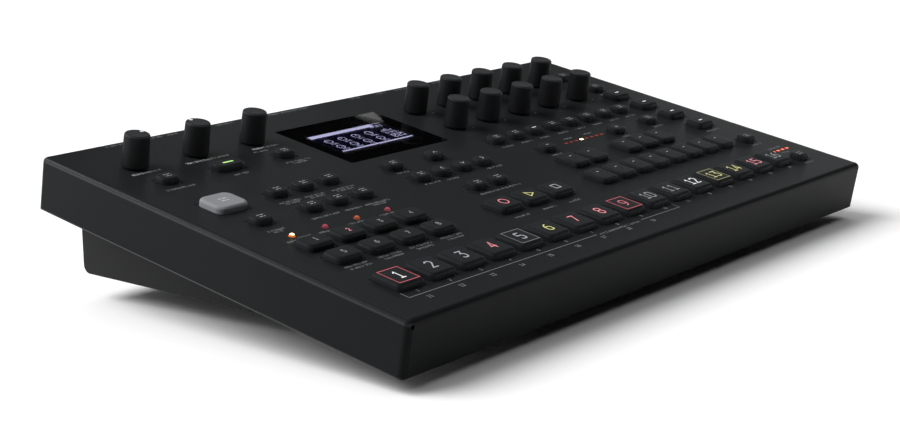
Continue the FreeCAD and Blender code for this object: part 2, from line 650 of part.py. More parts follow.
def make_top_panel():
    """One folded sheet: walls on four sides, side returns below, and every cut-out of the deck."""
    body = new_body("top_panel", DECK_FRAME)
    middle = [("width / 2", "deck_depth / 2")]
    outside = new_sketch(body, XY, lifted("0 - deck_thickness"), "outside")
    draw_rectangles(outside, middle, "width", "deck_depth")
    block = pad(body, "block", outside, "deck_thickness")
    dress_edges(
        body, "Fillet", "bends", block,
        lambda edge: level_at("0")(edge) or rises_above("0 - deck_thickness")(edge), "bend_radius",
    )
    inside = new_sketch(body, XY, lifted("0 - deck_thickness"), "inside")
    draw_rectangles(inside, middle, "width - 2 * sheet", "deck_depth - 2 * sheet")
    pocket(body, "hollow", inside, "deck_thickness - sheet", reverse=True)

    returns = new_sketch(body, XY, lifted("0 - lip_drop - sheet"), "returns")
    sides = [(place, "deck_depth / 2") for place in ("lip_width / 2 + 1", "width - lip_width / 2 - 1")]
    draw_rectangles(returns, sides, "lip_width", "deck_depth - 4 * bend_radius")
    pad(body, "side_returns", returns, "sheet")
    screw = [8, clear_of("case_screw_radius + 0.05", 8)]
    cut_holes(body, "screw_holes", [(draw_polygons, CASE_SCREWS, screw)], "1 - lip_drop")

    studs = new_sketch(body, XY, lifted("0 - sheet / 2"), "studs")
    draw_polygons(studs, STUDS.first, 6, "stud_radius")
    repeat(body, [pad(body, "studs", studs, "board_top - sheet / 2", reverse=True)], STUDS)

    seam_height = "deck_thickness - bend_radius"
    corners = ("seam_inset", "width - seam_inset")
    for name, wall, along in (("front", "1", False), ("rear", "0 - deck_depth - 1", True)):
        seams = new_sketch(body, XZ, lifted(wall), f"{name}_seams")
        places = [(x, f"0 - bend_radius - ({seam_height}) / 2") for x in corners]
        draw_rectangles(seams, places, "seam_gap", seam_height)
        pocket(body, f"{name}_seams", seams, "sheet + 1.4", reverse=along)
        reliefs = new_sketch(body, XZ, lifted(wall), f"{name}_reliefs")
        places = [(x, "0 - bend_radius - relief_size / 4") for x in corners]
        draw_rectangles(reliefs, places, "relief_size", "relief_size")
        pocket(body, f"{name}_reliefs", reliefs, "sheet + 1.4", reverse=along)

    for area, caps in KEY_AREAS.items():
        cut_holes(body, f"{area}_openings", [
            (draw_rectangles, grid, [f"{cap}_cap_width + 2 * key_gap", f"{cap}_cap_depth + 2 * key_gap"])
            for cap, grid in caps
        ])
    cut_holes(body, "left_dial_holes", [
        (draw_polygons, POINTER_GRID, [6, "dial_hole_radius"]),
        (draw_polygons, LEVEL_GRID, [6, "dial_hole_radius"]),
        (draw_rectangles, SCREEN, ["window_width + 2 * window_gap", "window_depth + 2 * window_gap"]),
    ])
    cut_holes(body, "data_dial_holes", [(draw_polygons, DATA_GRID.row(0), [6, "dial_hole_radius"])])
    cut_holes(body, "far_dial_holes", [(draw_polygons, DATA_GRID.row(1), [6, "dial_hole_radius"])])
    size = [f"{side} + 2 * lamp_gap" for side in ("small_lamp_width", "small_lamp_depth")]
    small = [(draw_rectangles, grid, size) for grid in (OCTAVE_LAMPS, FILL_LAMPS)]
    cut_holes(body, "small_lamp_holes", small)
    round_hole = [LAMP_SIDES, clear_of("lamp_radius + lamp_gap", LAMP_SIDES)]
    cut_holes(body, "track_lamp_holes", [(draw_polygons, TRACK_LAMPS, round_hole)])
    return body


def cut_holes(body, name, shapes, start="1", depth="sheet + 2"):
    """Cuts holes downwards from a height: ways to draw an outline, each with its places and its size."""
    outline = new_sketch(body, XY, lifted(start), name)
    for draw, grid, size in shapes:
        draw(outline, grid.places(), *size)
    pocket(body, name, outline, depth)


def make_keys(group):
    """Caps with a bevelled top that reach through the panel, each on a flange that stops under it."""
    body = new_body(group.label, DECK)
    foot = "(sheet + flange_gap + flange_thickness)"
    reach = "2 * (key_gap + flange_reach)"
    for cap, grids in group.caps.items():
        width, depth = f"{cap}_cap_width", f"{cap}_cap_depth"
        places = [place for grid in grids for place in grid.places()]
        rims = new_sketch(body, XY, lifted(f"0 - {foot}"), f"{cap}_flanges")
        draw_rectangles(rims, places, f"{width} + {reach}", f"{depth} + {reach}")
        pad(body, f"{cap}_flanges", rims, "flange_thickness")
        outlines = new_sketch(body, XY, lifted(f"0 - {foot}"), f"{cap}_stems")
        draw_rectangles(outlines, places, width, depth)
        stems = pad(body, f"{cap}_stems", outlines, f"{cap}_cap_height + {foot}")
        if cap in CUT_CORNER_CAPS:
            stems = dress_edges(body, "Chamfer", f"{cap}_corners", stems, rises_above("0"), "cap_corner")
        top, near = level_at(f"{cap}_cap_height"), within(places, width, depth)
        bevel = f"{cap}_cap_bevel"
        dress_edges(body, "Chamfer", f"{cap}_bevels", stems, lambda edge: top(edge) and near(edge), bevel)
    return body


def make_dial(label, place):
    """A dial, a little wider at its foot and sloped round its top, with its shaft."""
    across, along = place
    body = new_body(label, f"{DECK} * placement(vector({across}; {along}; 0); rotation(vector(0; 0; 1); 0))")
    outline = new_sketch(body, XY, lifted("dial_gap"), "outline")
    draw_polygons(outline, [("0", "0")], DIAL_SIDES, "dial_base_radius")
    drum = pad(body, "drum", outline, "dial_height - dial_gap")
    tapered = draft_sides(body, "taper", drum, "dial_gap", "dial_taper")
    dress_edges(body, "Chamfer", "edge", tapered, level_at("dial_height"), "dial_edge")
    foot = new_sketch(body, XY, lifted("dial_gap"), "shaft")
    draw_flatted_circle(foot, "shaft_radius", "shaft_flat")
    pad(body, "shaft", foot, "dial_gap + shaft_reach", reverse=True)
    return body


def make_screen_window():
    body = new_body("screen_window", DECK)
    pane = new_sketch(body, XY, lifted("0 - sheet"), "pane")
    draw_rectangles(pane, SCREEN.first, "window_width", "window_depth")
    pad(body, "pane", pane, "sheet")
    return body


def make_display_module():
    """A frame bonded under the panel, which carries the pane, round the display that stands on the board."""
    body = new_body("display_module", DECK)
    frame = new_sketch(body, XY, lifted("0 - 2 * sheet"), "frame")
    outer = [f"{side} + 2 * carrier_reach" for side in ("window_width", "window_depth")]
    draw_rectangles(frame, SCREEN.first, *outer)
    pad(body, "frame", frame, "sheet")
    glass_hole = new_sketch(body, XY, lifted("0"), "frame_opening")
    draw_rectangles(glass_hole, SCREEN.first, "display_width + 1", "display_depth + 1")
    pocket(body, "frame_opening", glass_hole, "3 * sheet")
    block = new_sketch(body, XY, lifted("0 - board_top"), "block")
    draw_rectangles(block, SCREEN.first, "display_width + 6", "display_depth + 6")
    pad(body, "block", block, "board_top - 2 * sheet")
    glass = new_sketch(body, XY, lifted("0 - board_top"), "glass")
    draw_rectangles(glass, SCREEN.first, "display_width", "display_depth")
    pad(body, "glass", glass, "board_top - display_drop")
    return body


def make_control_board():
    body = new_body("control_board", DECK)
    plate = new_sketch(body, XY, lifted("0 - board_top"), "plate")
    draw_rectangles(
        plate, [("width / 2", "deck_depth / 2")], "width - 2 * board_margin", "deck_depth - 2 * board_margin",
    )
    board = pad(body, "plate", plate, "board_thickness", reverse=True)
    dress_edges(body, "Chamfer", "corners", board, rises_above("0 - 2 * board_top"), "2 * sheet")
    return body


def make_key_switches():
    """One switch on the control board under every cap."""
    body = new_body("key_switches", DECK)
    height = "board_top - sheet - flange_gap - flange_thickness - key_travel - 0.1"
    for area, caps in KEY_AREAS.items():
        squares = new_sketch(body, XY, lifted("0 - board_top"), area)
        for _, grid in caps:
            draw_rectangles(squares, grid.places(), "switch_size", "switch_size")
        pad(body, f"{area}_switches", squares, height)
    return body


def make_turn_bodies(label, grids, width):
    """Encoder or potentiometer bodies on the control board, each with the bearing of its shaft."""
    body = new_body(label, DECK)
    for index, grid in enumerate(grids):
        outline = new_sketch(body, XY, lifted("0 - board_top"), f"outline_{index}")
        draw_rectangles(outline, grid.first, width, "encoder_size")
        housing = pad(body, f"housing_{index}", outline, "board_top - encoder_top")
        bearing = new_sketch(body, XY, lifted("0 - encoder_top"), f"bearing_{index}")
        radius = clear_of("shaft_radius + shaft_clearance", SHAFT_SIDES)
        draw_polygons(bearing, grid.first, SHAFT_SIDES, radius)
        hole = pocket(body, f"bearing_{index}", bearing, "shaft_reach - encoder_top + 0.4")
        repeat(body, [housing, hole], grid)
    return body


def make_indicator_lamps():
    """Round lamps over the track keys, small flat ones elsewhere, all standing on the control board."""
    body = new_body("indicator_lamps", DECK)
    outline = new_sketch(body, XY, lifted("0 - board_top"), "domes")
    draw_polygons(outline, TRACK_LAMPS.places(), LAMP_SIDES, "lamp_radius")
    domes = pad(body, "domes", outline, "board_top + lamp_proud")
    dress_edges(body, "Chamfer", "dome_edges", domes, level_at("lamp_proud"), "lamp_proud * 0.8")
    for name, grid in (("octave", OCTAVE_LAMPS), ("fill", FILL_LAMPS)):
        window = new_sketch(body, XY, lifted("0 - board_top"), name)
        draw_rectangles(window, grid.first, "small_lamp_width", "small_lamp_depth")
        repeat(body, [pad(body, name, window, "board_top")], grid)
    return body


# The base.

def make_bottom_chassis():
    """The plate that closes the deck and the wedge under it, which holds the electronics and the mounts."""
    body = new_body("bottom_chassis", BASE_FRAME)
    middle = [("width / 2", "deck_depth / 2")]
    edge_gap = "2 * (sheet + plate_gap)"
    plate = new_sketch(body, XY, tilted("0 - deck_thickness"), "plate")
    draw_rectangles(plate, middle, f"width - {edge_gap}", f"deck_depth - {edge_gap}")
    pad(body, "plate", plate, "base_sheet")

    def side_profile(name, inset, drop):
        """The wedge seen from the side, between the deck's underside, the level floor and the rear wall."""
        rear = f"base_reach - {inset}"
        floor = f"foot_height + {inset}"
        rear_rise = f"({deck_rise(0, drop)} + ({rear} - {deck_level(0, drop)}) * tan{TILT})"
        start = f"({deck_level(0, drop)} + ({floor} - {deck_rise(0, drop)}) / tan{TILT})"
        profile = new_sketch(body, YZ, lifted(f"base_inset + {inset}"), name)
        draw_outline(profile, [(start, floor), (rear, floor), (rear, rear_rise)])
        return profile

    def lower_rear(inset):
        """A test for the long edge where the floor meets the rear wall."""
        rear, floor = value(f"base_reach - {inset}"), value(f"foot_height + {inset}")

        def test(edge):
            box = edge.BoundBox
            return box.XLength > 300 and abs(box.YMin - rear) < 1e-3 and abs(box.ZMin - floor) < 1e-3

        return test

    wedge = pad(body, "wedge", side_profile("wedge", "0", "0 - deck_thickness"), "width - 2 * base_inset")
    dress_edges(body, "Fillet", "rear_bend", wedge, lower_rear("0"), "base_corner")
    inner = side_profile("hollow", "base_sheet", "0 - deck_thickness")
    hollow = pocket(body, "hollow", inner, "width - 2 * (base_inset + base_sheet)", reverse=True)
    dress_edges(body, "Fillet", "inner_bend", hollow, lower_rear("base_sheet"), "base_corner - base_sheet")
    opening = new_sketch(body, XY, tilted("base_sheet + 1 - deck_thickness"), "floor_opening")
    draw_rectangles(
        opening,
        [("width / 2", "floor_opening_front / 2 + floor_opening_rear / 2")],
        "width - 2 * (base_inset + 3 * base_sheet)", "floor_opening_rear - floor_opening_front",
    )
    pocket(body, "floor_opening", opening, "base_sheet + 1.5")

    windows = new_sketch(body, XZ, lifted("0 - base_reach - 1"), "rear_windows")
    for corners in (
        corners_of("jack_window_left", "jack_window_right", "jack_window_low", "jack_window_high"),
        corners_of("jack_window_right + 4", "socket_window_right", "socket_window_low", "socket_window_high"),
    ):
        draw_outline(windows, corners)
    pocket(body, "rear_windows", windows, "base_sheet + 2", reverse=True)

    for name, grid, flat, height in (
        ("stand_nuts", STAND_HOLES, "stand_nut_radius", "base_sheet + stand_nut_height"),
        ("board_posts", BOARD_POSTS, "stud_radius", "main_board_top - board_thickness - foot_height"),
    ):
        post = new_sketch(body, XY, lifted("foot_height"), name)
        draw_polygons(post, grid.first, 6, flat)
        repeat(body, [pad(body, name, post, height)], grid)
    below = lifted("foot_height - 1")
    nut_depth = "base_sheet + stand_nut_height + 2"
    screw = [8, clear_of("case_screw_radius + 0.1", 8)]
    for name, plane, grid, draw, size, depth in (
        ("stand_holes", below, STAND_HOLES, draw_circles, ["stand_hole_radius"], nut_depth),
        ("foot_holes", below, FEET, draw_polygons, screw, "base_sheet + 2"),
        ("screw_holes", tilted("0 - deck_thickness - 1"), CASE_SCREWS, draw_polygons, screw, "base_sheet + 2"),
    ):
        hole = new_sketch(body, XY, plane, name)
        draw(hole, grid.first, *size)
        repeat(body, [pocket(body, name, hole, depth, reverse=True)], grid)
    return body


def make_rear_panel():
    """The connector panel, fixed inside the rear wall and open where a socket comes through."""
    body = new_body("rear_panel", BASE_FRAME)
    plate = new_sketch(body, XZ, lifted(f"0 - ({CONNECTOR_FACE})"), "plate")
    draw_rectangles(
        plate,
        [("rear_panel_left / 2 + rear_panel_right / 2", "rear_panel_low / 2 + rear_panel_high / 2")],
        "rear_panel_right - rear_panel_left", "rear_panel_high - rear_panel_low",
    )
    pad(body, "plate", plate, "sheet")
    square = "power_button_size + 2 * power_button_gap"
    jack_way = [JACK_SIDES, clear_of("jack_sleeve_radius + 0.1", JACK_SIDES)]
    midi_way = [SOCKET_SIDES, clear_of("midi_shell_radius + 0.1", SOCKET_SIDES)]
    for name, grid, draw, size in (
        ("jack_ways", JACKS, draw_polygons, jack_way),
        ("midi_ways", MIDI_SOCKETS, draw_polygons, midi_way),
        ("usb_way", USB_SOCKET, draw_rectangles, ["usb_width + 0.4", "usb_height + 0.4"]),
        ("inlet_way", POWER_INLET, draw_rectangles, ["inlet_width + 0.4", "inlet_width + 0.4"]),
        ("power_way", POWER_BUTTON, draw_rectangles, [square, square]),
    ):
        way = new_sketch(body, XZ, lifted(f"0 - ({CONNECTOR_FACE}) - 1"), name)
        draw(way, grid.first, *size)
        repeat(body, [pocket(body, name, way, "sheet + 2", reverse=True)], grid)
    return body


def make_main_board():
    body = new_body("main_board", BASE_FRAME)
    plate = new_sketch(body, XY, lifted("main_board_top"), "plate")
    draw_rectangles(
        plate,
        [("width / 2", f"main_board_front / 2 + ({CONNECTOR_BACK} - 1) / 2")],
        "width - 2 * base_inset - 12", f"{CONNECTOR_BACK} - 1 - main_board_front",
    )
    board = pad(body, "plate", plate, "board_thickness", reverse=True)
    dress_edges(body, "Chamfer", "corners", board, rises_above("0 - 2 * board_top"), "2 * sheet")
    return body


def make_audio_jacks():
    """Jack bodies on the main board, with sleeves through the connector panel and open bores."""
    body = new_body("audio_jacks", BASE_FRAME)
    for name, grid, draw, size in (
        ("output", OUTPUT_JACKS, draw_circles, ["jack_bore_radius"]),
        ("other", OTHER_JACKS, draw_polygons, [JACK_SIDES, clear_of("jack_bore_radius", JACK_SIDES)]),
    ):
        shell = new_sketch(body, XZ, lifted(f"0 - ({CONNECTOR_BACK})"), f"{name}_shell")
        draw_rectangles(shell, grid.first, "jack_width", "2 * (jack_axis - main_board_top)")
        block = pad(body, f"{name}_shell", shell, "jack_length")
        ring = new_sketch(body, XZ, lifted(f"0 - ({CONNECTOR_BACK} - 1)"), f"{name}_sleeve")
        draw_polygons(ring, grid.first, JACK_SIDES, "jack_sleeve_radius")
        sleeve = pad(body, f"{name}_sleeve", ring, "1 + sheet + base_sheet + jack_proud", reverse=True)
        mouth = new_sketch(body, XZ, lifted("0 - base_reach - jack_proud"), f"{name}_bore")
        draw(mouth, grid.first, *size)
        bore = pocket(body, f"{name}_bore", mouth, "jack_bore_depth", reverse=True)
        repeat(body, [block, sleeve, bore], grid)
    return body


def make_midi_sockets():
    """Three round sockets, each with a ring slot for the plug's shell and five pin holes in an arc."""
    body = new_body("midi_sockets", BASE_FRAME)
    shell = new_sketch(body, XZ, lifted(f"0 - ({CONNECTOR_BACK})"), "shell")
    draw_rectangles(shell, MIDI_SOCKETS.first, "midi_width", "2 * (midi_axis - main_board_top)")
    block = pad(body, "shell", shell, "midi_depth")
    front = f"0 - ({CONNECTOR_FACE} + socket_proud)"
    face = new_sketch(body, XZ, lifted(f"0 - ({CONNECTOR_BACK} - 1)"), "face")
    draw_polygons(face, MIDI_SOCKETS.first, SOCKET_SIDES, "midi_shell_radius")
    disc = pad(body, "face", face, "1 + sheet + socket_proud", reverse=True)
    ring = new_sketch(body, XZ, lifted(front), "slot")
    draw_polygons(ring, MIDI_SOCKETS.first, SOCKET_SIDES, "midi_slot_outer")
    draw_polygons(ring, MIDI_SOCKETS.first, SOCKET_SIDES, "midi_slot_inner")
    slot = pocket(body, "slot", ring, "midi_depth / 2", reverse=True)
    holes = new_sketch(body, XZ, lifted(front), "pins")
    angles = [math.radians(45 * index) for index in range(5)]
    places = [on_circle(("midi_column", "midi_axis"), "midi_pin_circle", angle) for angle in angles]
    draw_polygons(holes, places, 4, "midi_pin_radius")
    pins = pocket(body, "pins", holes, "midi_depth / 2", reverse=True)
    repeat(body, [block, disc, slot, pins], MIDI_SOCKETS)
    return body


def make_usb_socket():
    """A squarish computer socket with a contact tongue in its mouth."""
    body = new_body("usb_socket", BASE_FRAME)
    front = f"0 - ({CONNECTOR_FACE} + socket_proud)"
    shell = new_sketch(body, XZ, lifted(front), "shell")
    draw_rectangles(shell, USB_SOCKET.first, "usb_width", "usb_height")
    pad(body, "shell", shell, "socket_proud + sheet + midi_depth")
    mouth = new_sketch(body, XZ, lifted(front), "mouth")
    draw_rectangles(mouth, USB_SOCKET.first, "usb_mouth_width", "usb_mouth_height")
    draw_rectangles(mouth, USB_SOCKET.first, "usb_tongue_width", "usb_tongue_height")
    pocket(body, "mouth", mouth, "midi_depth * 0.75", reverse=True)
    return body


def make_power_inlet():
    """A barrel inlet: a round mouth with a pin in its middle."""
    body = new_body("power_inlet", BASE_FRAME)
    front = f"0 - ({CONNECTOR_FACE} + socket_proud)"
    shell = new_sketch(body, XZ, lifted(front), "shell")
    draw_rectangles(shell, POWER_INLET.first, "inlet_width", "inlet_width")
    pad(body, "shell", shell, "socket_proud + sheet + midi_depth")
    mouth = new_sketch(body, XZ, lifted(front), "mouth")
    draw_polygons(mouth, POWER_INLET.first, JACK_SIDES, "inlet_mouth_radius")
    draw_polygons(mouth, POWER_INLET.first, 8, "inlet_pin_radius")
    pocket(body, "mouth", mouth, "inlet_depth", reverse=True)
    return body


def make_power_switch():
    """The body that the power button latches in."""
    body = new_body("power_switch", BASE_FRAME)
    shell = new_sketch(body, XZ, lifted(f"0 - ({CONNECTOR_BACK})"), "shell")
    draw_rectangles(shell, POWER_BUTTON.first, "power_body", "2 * (power_axis - main_board_top)")
    pad(body, "shell", shell, "midi_depth")
    shaft = new_sketch(body, XZ, lifted(f"0 - ({CONNECTOR_BACK}) - 1"), "shaft_way")
    width = "power_button_size + power_button_gap"
    draw_rectangles(shaft, POWER_BUTTON.first, width, width)
    pocket(body, "shaft_way", shaft, "1 + power_button_root + 1", reverse=True)
    return body


def make_power_button():
    body = new_body("power_button", BASE_FRAME)
    tip = "base_reach + power_button_proud"
    outline = new_sketch(body, XZ, lifted(f"0 - ({tip})"), "outline")
    draw_rectangles(outline, POWER_BUTTON.first, "power_button_size", "power_button_size")
    block = pad(body, "block", outline, f"{tip} - ({CONNECTOR_BACK}) + power_button_root")
    outer = value(tip)
    dress_edges(
        body, "Chamfer", "edge", block, lambda edge: edge.BoundBox.YMin > outer - 1e-6, "power_button_gap",
    )
    return body


def make_rubber_feet():
    """Feet with a sloped lower edge, each with a recess for its screw."""
    body = new_body("rubber_feet", BASE_FRAME)
    outline = new_sketch(body, XY, lifted("0"), "outline")
    draw_polygons(outline, FEET.places(), FOOT_SIDES, "foot_radius")
    drums = pad(body, "drums", outline, "foot_height")
    dress_edges(body, "Chamfer", "lower_edges", drums, level_at("0"), "foot_edge")
    recess = new_sketch(body, XY, lifted("0 - 1"), "recess")
    draw_polygons(recess, FEET.places(), HEAD_SIDES, "foot_recess_radius")
    pocket(body, "recess", recess, "foot_recess_depth + 1", reverse=True)
    hole = new_sketch(body, XY, lifted("0"), "hole")
    draw_polygons(hole, FEET.places(), 8, clear_of("case_screw_radius + 0.1", 8))
    pocket(body, "hole", hole, "foot_height + 1", reverse=True)
    return body


def make_screws(label, frame, grid, head, length):
    """Screws whose heads hang below a height and whose shanks go up from it."""
    body = new_body(label, frame)
    disc = new_sketch(body, XY, lifted(head), "head")
    draw_polygons(disc, grid.first, HEAD_SIDES, "case_head_radius")
    cap = pad(body, "head", disc, "case_head_height", reverse=True)
    rod = new_sketch(body, XY, lifted(head), "shank")
    draw_polygons(rod, grid.first, 6, "case_screw_radius")
    shank = pad(body, "shank", rod, length)
    repeat(body, [cap, shank], grid)
    return body


def make_case_screws():
    """Four screws through the plate into the side returns, and one up through each foot."""
    plate_length = "deck_thickness - lip_drop + 1"
    foot_length = "foot_height - foot_recess_depth + base_sheet + 2"
    plate = make_screws("plate_screws", DECK, CASE_SCREWS, "0 - deck_thickness", plate_length)
    feet = make_screws("foot_screws", BASE_FRAME, FEET, "foot_recess_depth", foot_length)
    both = doc.addObject("Part::Compound", "case_screws")
    both.Label = "case_screws"
    both.Links = [plate, feet]
    return both


def build_pieces():
    pieces = [make_top_panel()]
    pieces += [make_keys(group) for group in KEY_GROUPS]
    pieces += [make_dial(label, place) for label, place in DIALS.items()]
    pieces += [make_screen_window(), make_display_module(), make_control_board(), make_key_switches()]
    pieces += [
        make_turn_bodies("encoders", [LEVEL_GRID, DATA_GRID], "encoder_size"),
        make_turn_bodies("potentiometers", [POINTER_GRID], "potentiometer_width"),
        make_indicator_lamps(),
    ]
    pieces += [make_bottom_chassis(), make_rear_panel(), make_main_board()]
    pieces += [make_audio_jacks(), make_midi_sockets(), make_usb_socket(), make_power_inlet()]
    pieces += [make_power_switch(), make_power_button(), make_rubber_feet(), make_case_screws()]
    return pieces


def check_pieces(pieces):
    """Stops on a failed object, a cut that took nothing away, or a shape that is empty or not valid."""
    for item in doc.Objects:
        if {"Invalid", "Error"} & set(item.State):
            raise RuntimeError(f"{item.Name} is {item.State}")
        if item.TypeId == "PartDesign::Pocket":
            before, after = item.BaseFeature.Shape.Volume, item.Shape.Volume
            if after > before - 1e-3:
                raise RuntimeError(f"{item.Name} cut nothing")
    for piece in pieces:
        shape = piece.Shape
        if shape.isNull() or not shape.isValid() or not shape.Solids:
            raise RuntimeError(f"{piece.Label} has no valid shape")


def write_pieces(pieces):
    os.makedirs("parts", exist_ok=True)
    for piece in pieces:
        piece.Shape.exportStep(os.path.join("parts", f"{piece.Label}.step"))
        print(f"{piece.Label}: {len(piece.Shape.Solids)} solids, {piece.Shape.Volume / 1000:.2f} cm3")


pieces = build_pieces()
doc.recompute()
check_pieces(pieces)
write_pieces(pieces)
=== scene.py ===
import logging
import math
from dataclasses import dataclass
from enum import Enum
from random import Random
from typing import Iterable, Sequence, Union

import bmesh
import bpy
from mathutils import Matrix, Vector


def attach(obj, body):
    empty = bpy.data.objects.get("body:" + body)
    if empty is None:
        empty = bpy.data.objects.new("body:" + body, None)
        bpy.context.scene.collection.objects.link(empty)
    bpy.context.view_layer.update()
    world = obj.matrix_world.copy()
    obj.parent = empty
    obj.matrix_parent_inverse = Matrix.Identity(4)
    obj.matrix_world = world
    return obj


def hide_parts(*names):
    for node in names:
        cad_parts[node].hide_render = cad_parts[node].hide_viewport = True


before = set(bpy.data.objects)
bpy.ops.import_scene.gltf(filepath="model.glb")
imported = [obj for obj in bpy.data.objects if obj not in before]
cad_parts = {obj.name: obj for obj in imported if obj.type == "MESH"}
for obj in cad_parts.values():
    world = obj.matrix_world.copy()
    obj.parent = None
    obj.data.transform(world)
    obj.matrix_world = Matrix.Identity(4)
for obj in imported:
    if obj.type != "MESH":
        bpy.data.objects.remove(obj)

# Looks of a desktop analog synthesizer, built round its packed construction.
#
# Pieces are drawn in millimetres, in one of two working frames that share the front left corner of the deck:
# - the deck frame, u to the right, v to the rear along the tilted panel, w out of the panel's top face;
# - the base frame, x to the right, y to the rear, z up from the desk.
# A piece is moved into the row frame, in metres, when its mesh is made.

log = logging.getLogger("synthesizer")

Colour = tuple[float, float, float]
Place = tuple[float, float]
Point = tuple[float, float, float]
Value = Union["Signal", float, int, Sequence[float]]

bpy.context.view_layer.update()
TILT = math.radians(10.4)
# The deck's front left corner in millimetres of the row frame: the flange below it is 25 high, from 6.7 up.
LEFT, FRONT, DECK_RISE = -192.5, -111.855, 6.7 + 25.0 * math.cos(TILT)
MILLIMETRES = Matrix.Scale(0.001, 4)
DECK = MILLIMETRES @ Matrix.Translation((LEFT, FRONT, DECK_RISE)) @ Matrix.Rotation(TILT, 4, "X")
BASE = MILLIMETRES @ Matrix.Translation((LEFT, FRONT, 0.0))


def tone(*levels: int) -> Colour:
    """A colour given as a screen shows it, as light.

    Args:
        levels: Red, green and blue, from 0 to 255.

    Returns:
        The colour in a shader's numbers.
    """
    shares = [level / 255 for level in levels]
    return tuple(share / 12.92 if share <= 0.04045 else ((share + 0.055) / 1.055) ** 2.4 for share in shares)


def column(index: float) -> float:
    """The place across the deck of a key column: the step keys stand on columns 0 to 15."""
    return 27.2 + index * 20.6625


# Shader maths.


class Signal:
    """A shader socket in arithmetic: each operator adds the node that works it out."""

    def __init__(self, paint: "Paint", socket: bpy.types.NodeSocket) -> None:
        """Wraps one output socket of a paint's nodes."""
        self.paint = paint
        self.socket = socket

    def __add__(self, other: Value) -> "Signal":
        """Sum."""
        return self.paint.maths("ADD", self, other)

    __radd__ = __add__

    def __mul__(self, other: Value) -> "Signal":
        """Product."""
        return self.paint.maths("MULTIPLY", self, other)

    __rmul__ = __mul__

    def __sub__(self, other: Value) -> "Signal":
        """Difference."""
        return self.paint.maths("SUBTRACT", self, other)

    def __rsub__(self, other: Value) -> "Signal":
        """Difference with the socket second, as in 1 - mask."""
        return self.paint.maths("SUBTRACT", other, self)

    def between(self, low: float, high: float) -> "Signal":
        """Zero below low, one above high, and an even slope from one to the other."""
        return self.paint.node("MapRange", {"clamp": True}, {0: self, 1: low, 2: high})


class Paint:
    """A material being made."""

    def __init__(self, name: str) -> None:
        """Starts an empty material.

        Args:
            name: Its name.
        """
        self.material = bpy.data.materials.new(name)
        self.material.use_nodes = True
        self.tree = self.material.node_tree
        self.tree.nodes.clear()
        self.here = self.node("TexCoord", output="Object")

    def node(
        self,
        kind: str,
        settings: dict[str, object] | None = None,
        inputs: dict[int | str, Value] | None = None,
        output: int | str = 0,
    ) -> Signal:
        """Adds a node.

        Args:
            kind: The node's type, without the word that all shader nodes start with.
            settings: Its own settings, made before its sockets are used.
            inputs: Values or signals, by the socket's name or number.
            output: The output that is wanted.

        Returns:
            That output, ready for arithmetic.
        """
        made = self.tree.nodes.new(f"ShaderNode{kind}")
        for name, setting in (settings or {}).items():
            setattr(made, name, setting)
        for name, value in (inputs or {}).items():
            socket = made.inputs[name]
            if isinstance(value, Signal):
                self.tree.links.new(value.socket, socket)
            elif socket.type == "RGBA" and len(value) == 3:
                socket.default_value = (*value, 1.0)
            else:
                socket.default_value = value
        return Signal(self, made.outputs[output]) if made.outputs else Signal(self, made.inputs[0])

    def maths(self, operation: str, *operands: Value) -> Signal:
        """One Math node on numbers."""
        return self.node("Math", {"operation": operation}, dict(enumerate(operands)))

    def mixed(self, share: Value, low: Value, high: Value) -> Signal:
        """A colour between two others, by a share from 0 to 1."""
        return self.node("Mix", {"data_type": "RGBA"}, {0: share, 6: low, 7: high}, 2)

    def stretched(self, x: float, y: float, z: float) -> Signal:
        """The place on the piece with each axis scaled, for grain that runs one way."""
        return self.node("VectorMath", {"operation": "MULTIPLY"}, {0: self.here, 1: (x, y, z)})

    def axis(self, letter: str) -> Signal:
        """One coordinate of the place on the piece, in metres of the row frame."""
        return self.node("SeparateXYZ", {}, {0: self.here}, letter)

    def noise(self, scale: float, detail: float = 2.0, place: Signal | None = None) -> Signal:
        """Cloudy noise about 0.5.

        Args:
            scale: Spots per metre.
            detail: How many finer layers it has.
            place: The coordinates it is read at, the piece's own ones if left out.

        Returns:
            The noise.
        """
        inputs = {"Vector": place or self.here, "Scale": scale, "Detail": detail}
        return self.node("TexNoise", {}, inputs, "Fac")

    def cells(self, scale: float) -> Signal:
        """Distances in a scatter of cells, for pebbled or speckled surfaces."""
        return self.node("TexVoronoi", {}, {"Vector": self.here, "Scale": scale}, "Distance")

    def relief(self, height: Signal, depth: float) -> Signal:
        """A normal that follows a height, by its depth in metres."""
        return self.node("Bump", {}, {"Height": height, "Distance": depth})

    def rays(self, kind: str) -> Signal:
        """One for rays of a kind, zero for the others."""
        return self.node("LightPath", output=kind)

    def surface(self, **inputs: Value) -> Signal:
        """The main surface shader, its sockets named in lower case."""
        names = (name.replace("_", " ").title().replace("Ior", "IOR") for name in inputs)
        return self.node("BsdfPrincipled", {}, dict(zip(names, inputs.values())))

    def done(self, shader: Signal) -> bpy.types.Material:
        """Connects the shader to the output, and gives the material."""
        self.node("OutputMaterial", {}, {"Surface": shader})
        return self.material


# Finishes.


@dataclass(frozen=True)
class Finish:
    """What a surface is made of.

    Attributes:
        name: The material's name.
        slot: The record's material slot; not used.
        colour: Its own colour, as light.
        roughness: From 0, a mirror, to 1.
    """

    name: str
    slot: str
    colour: Colour
    roughness: float

    def shade(self, factor: float) -> Colour:
        """Its colour made lighter or darker."""
        return tuple(channel * factor for channel in self.colour)

    def paint(self) -> bpy.types.Material:
        """Mixes the material."""
        raise NotImplementedError


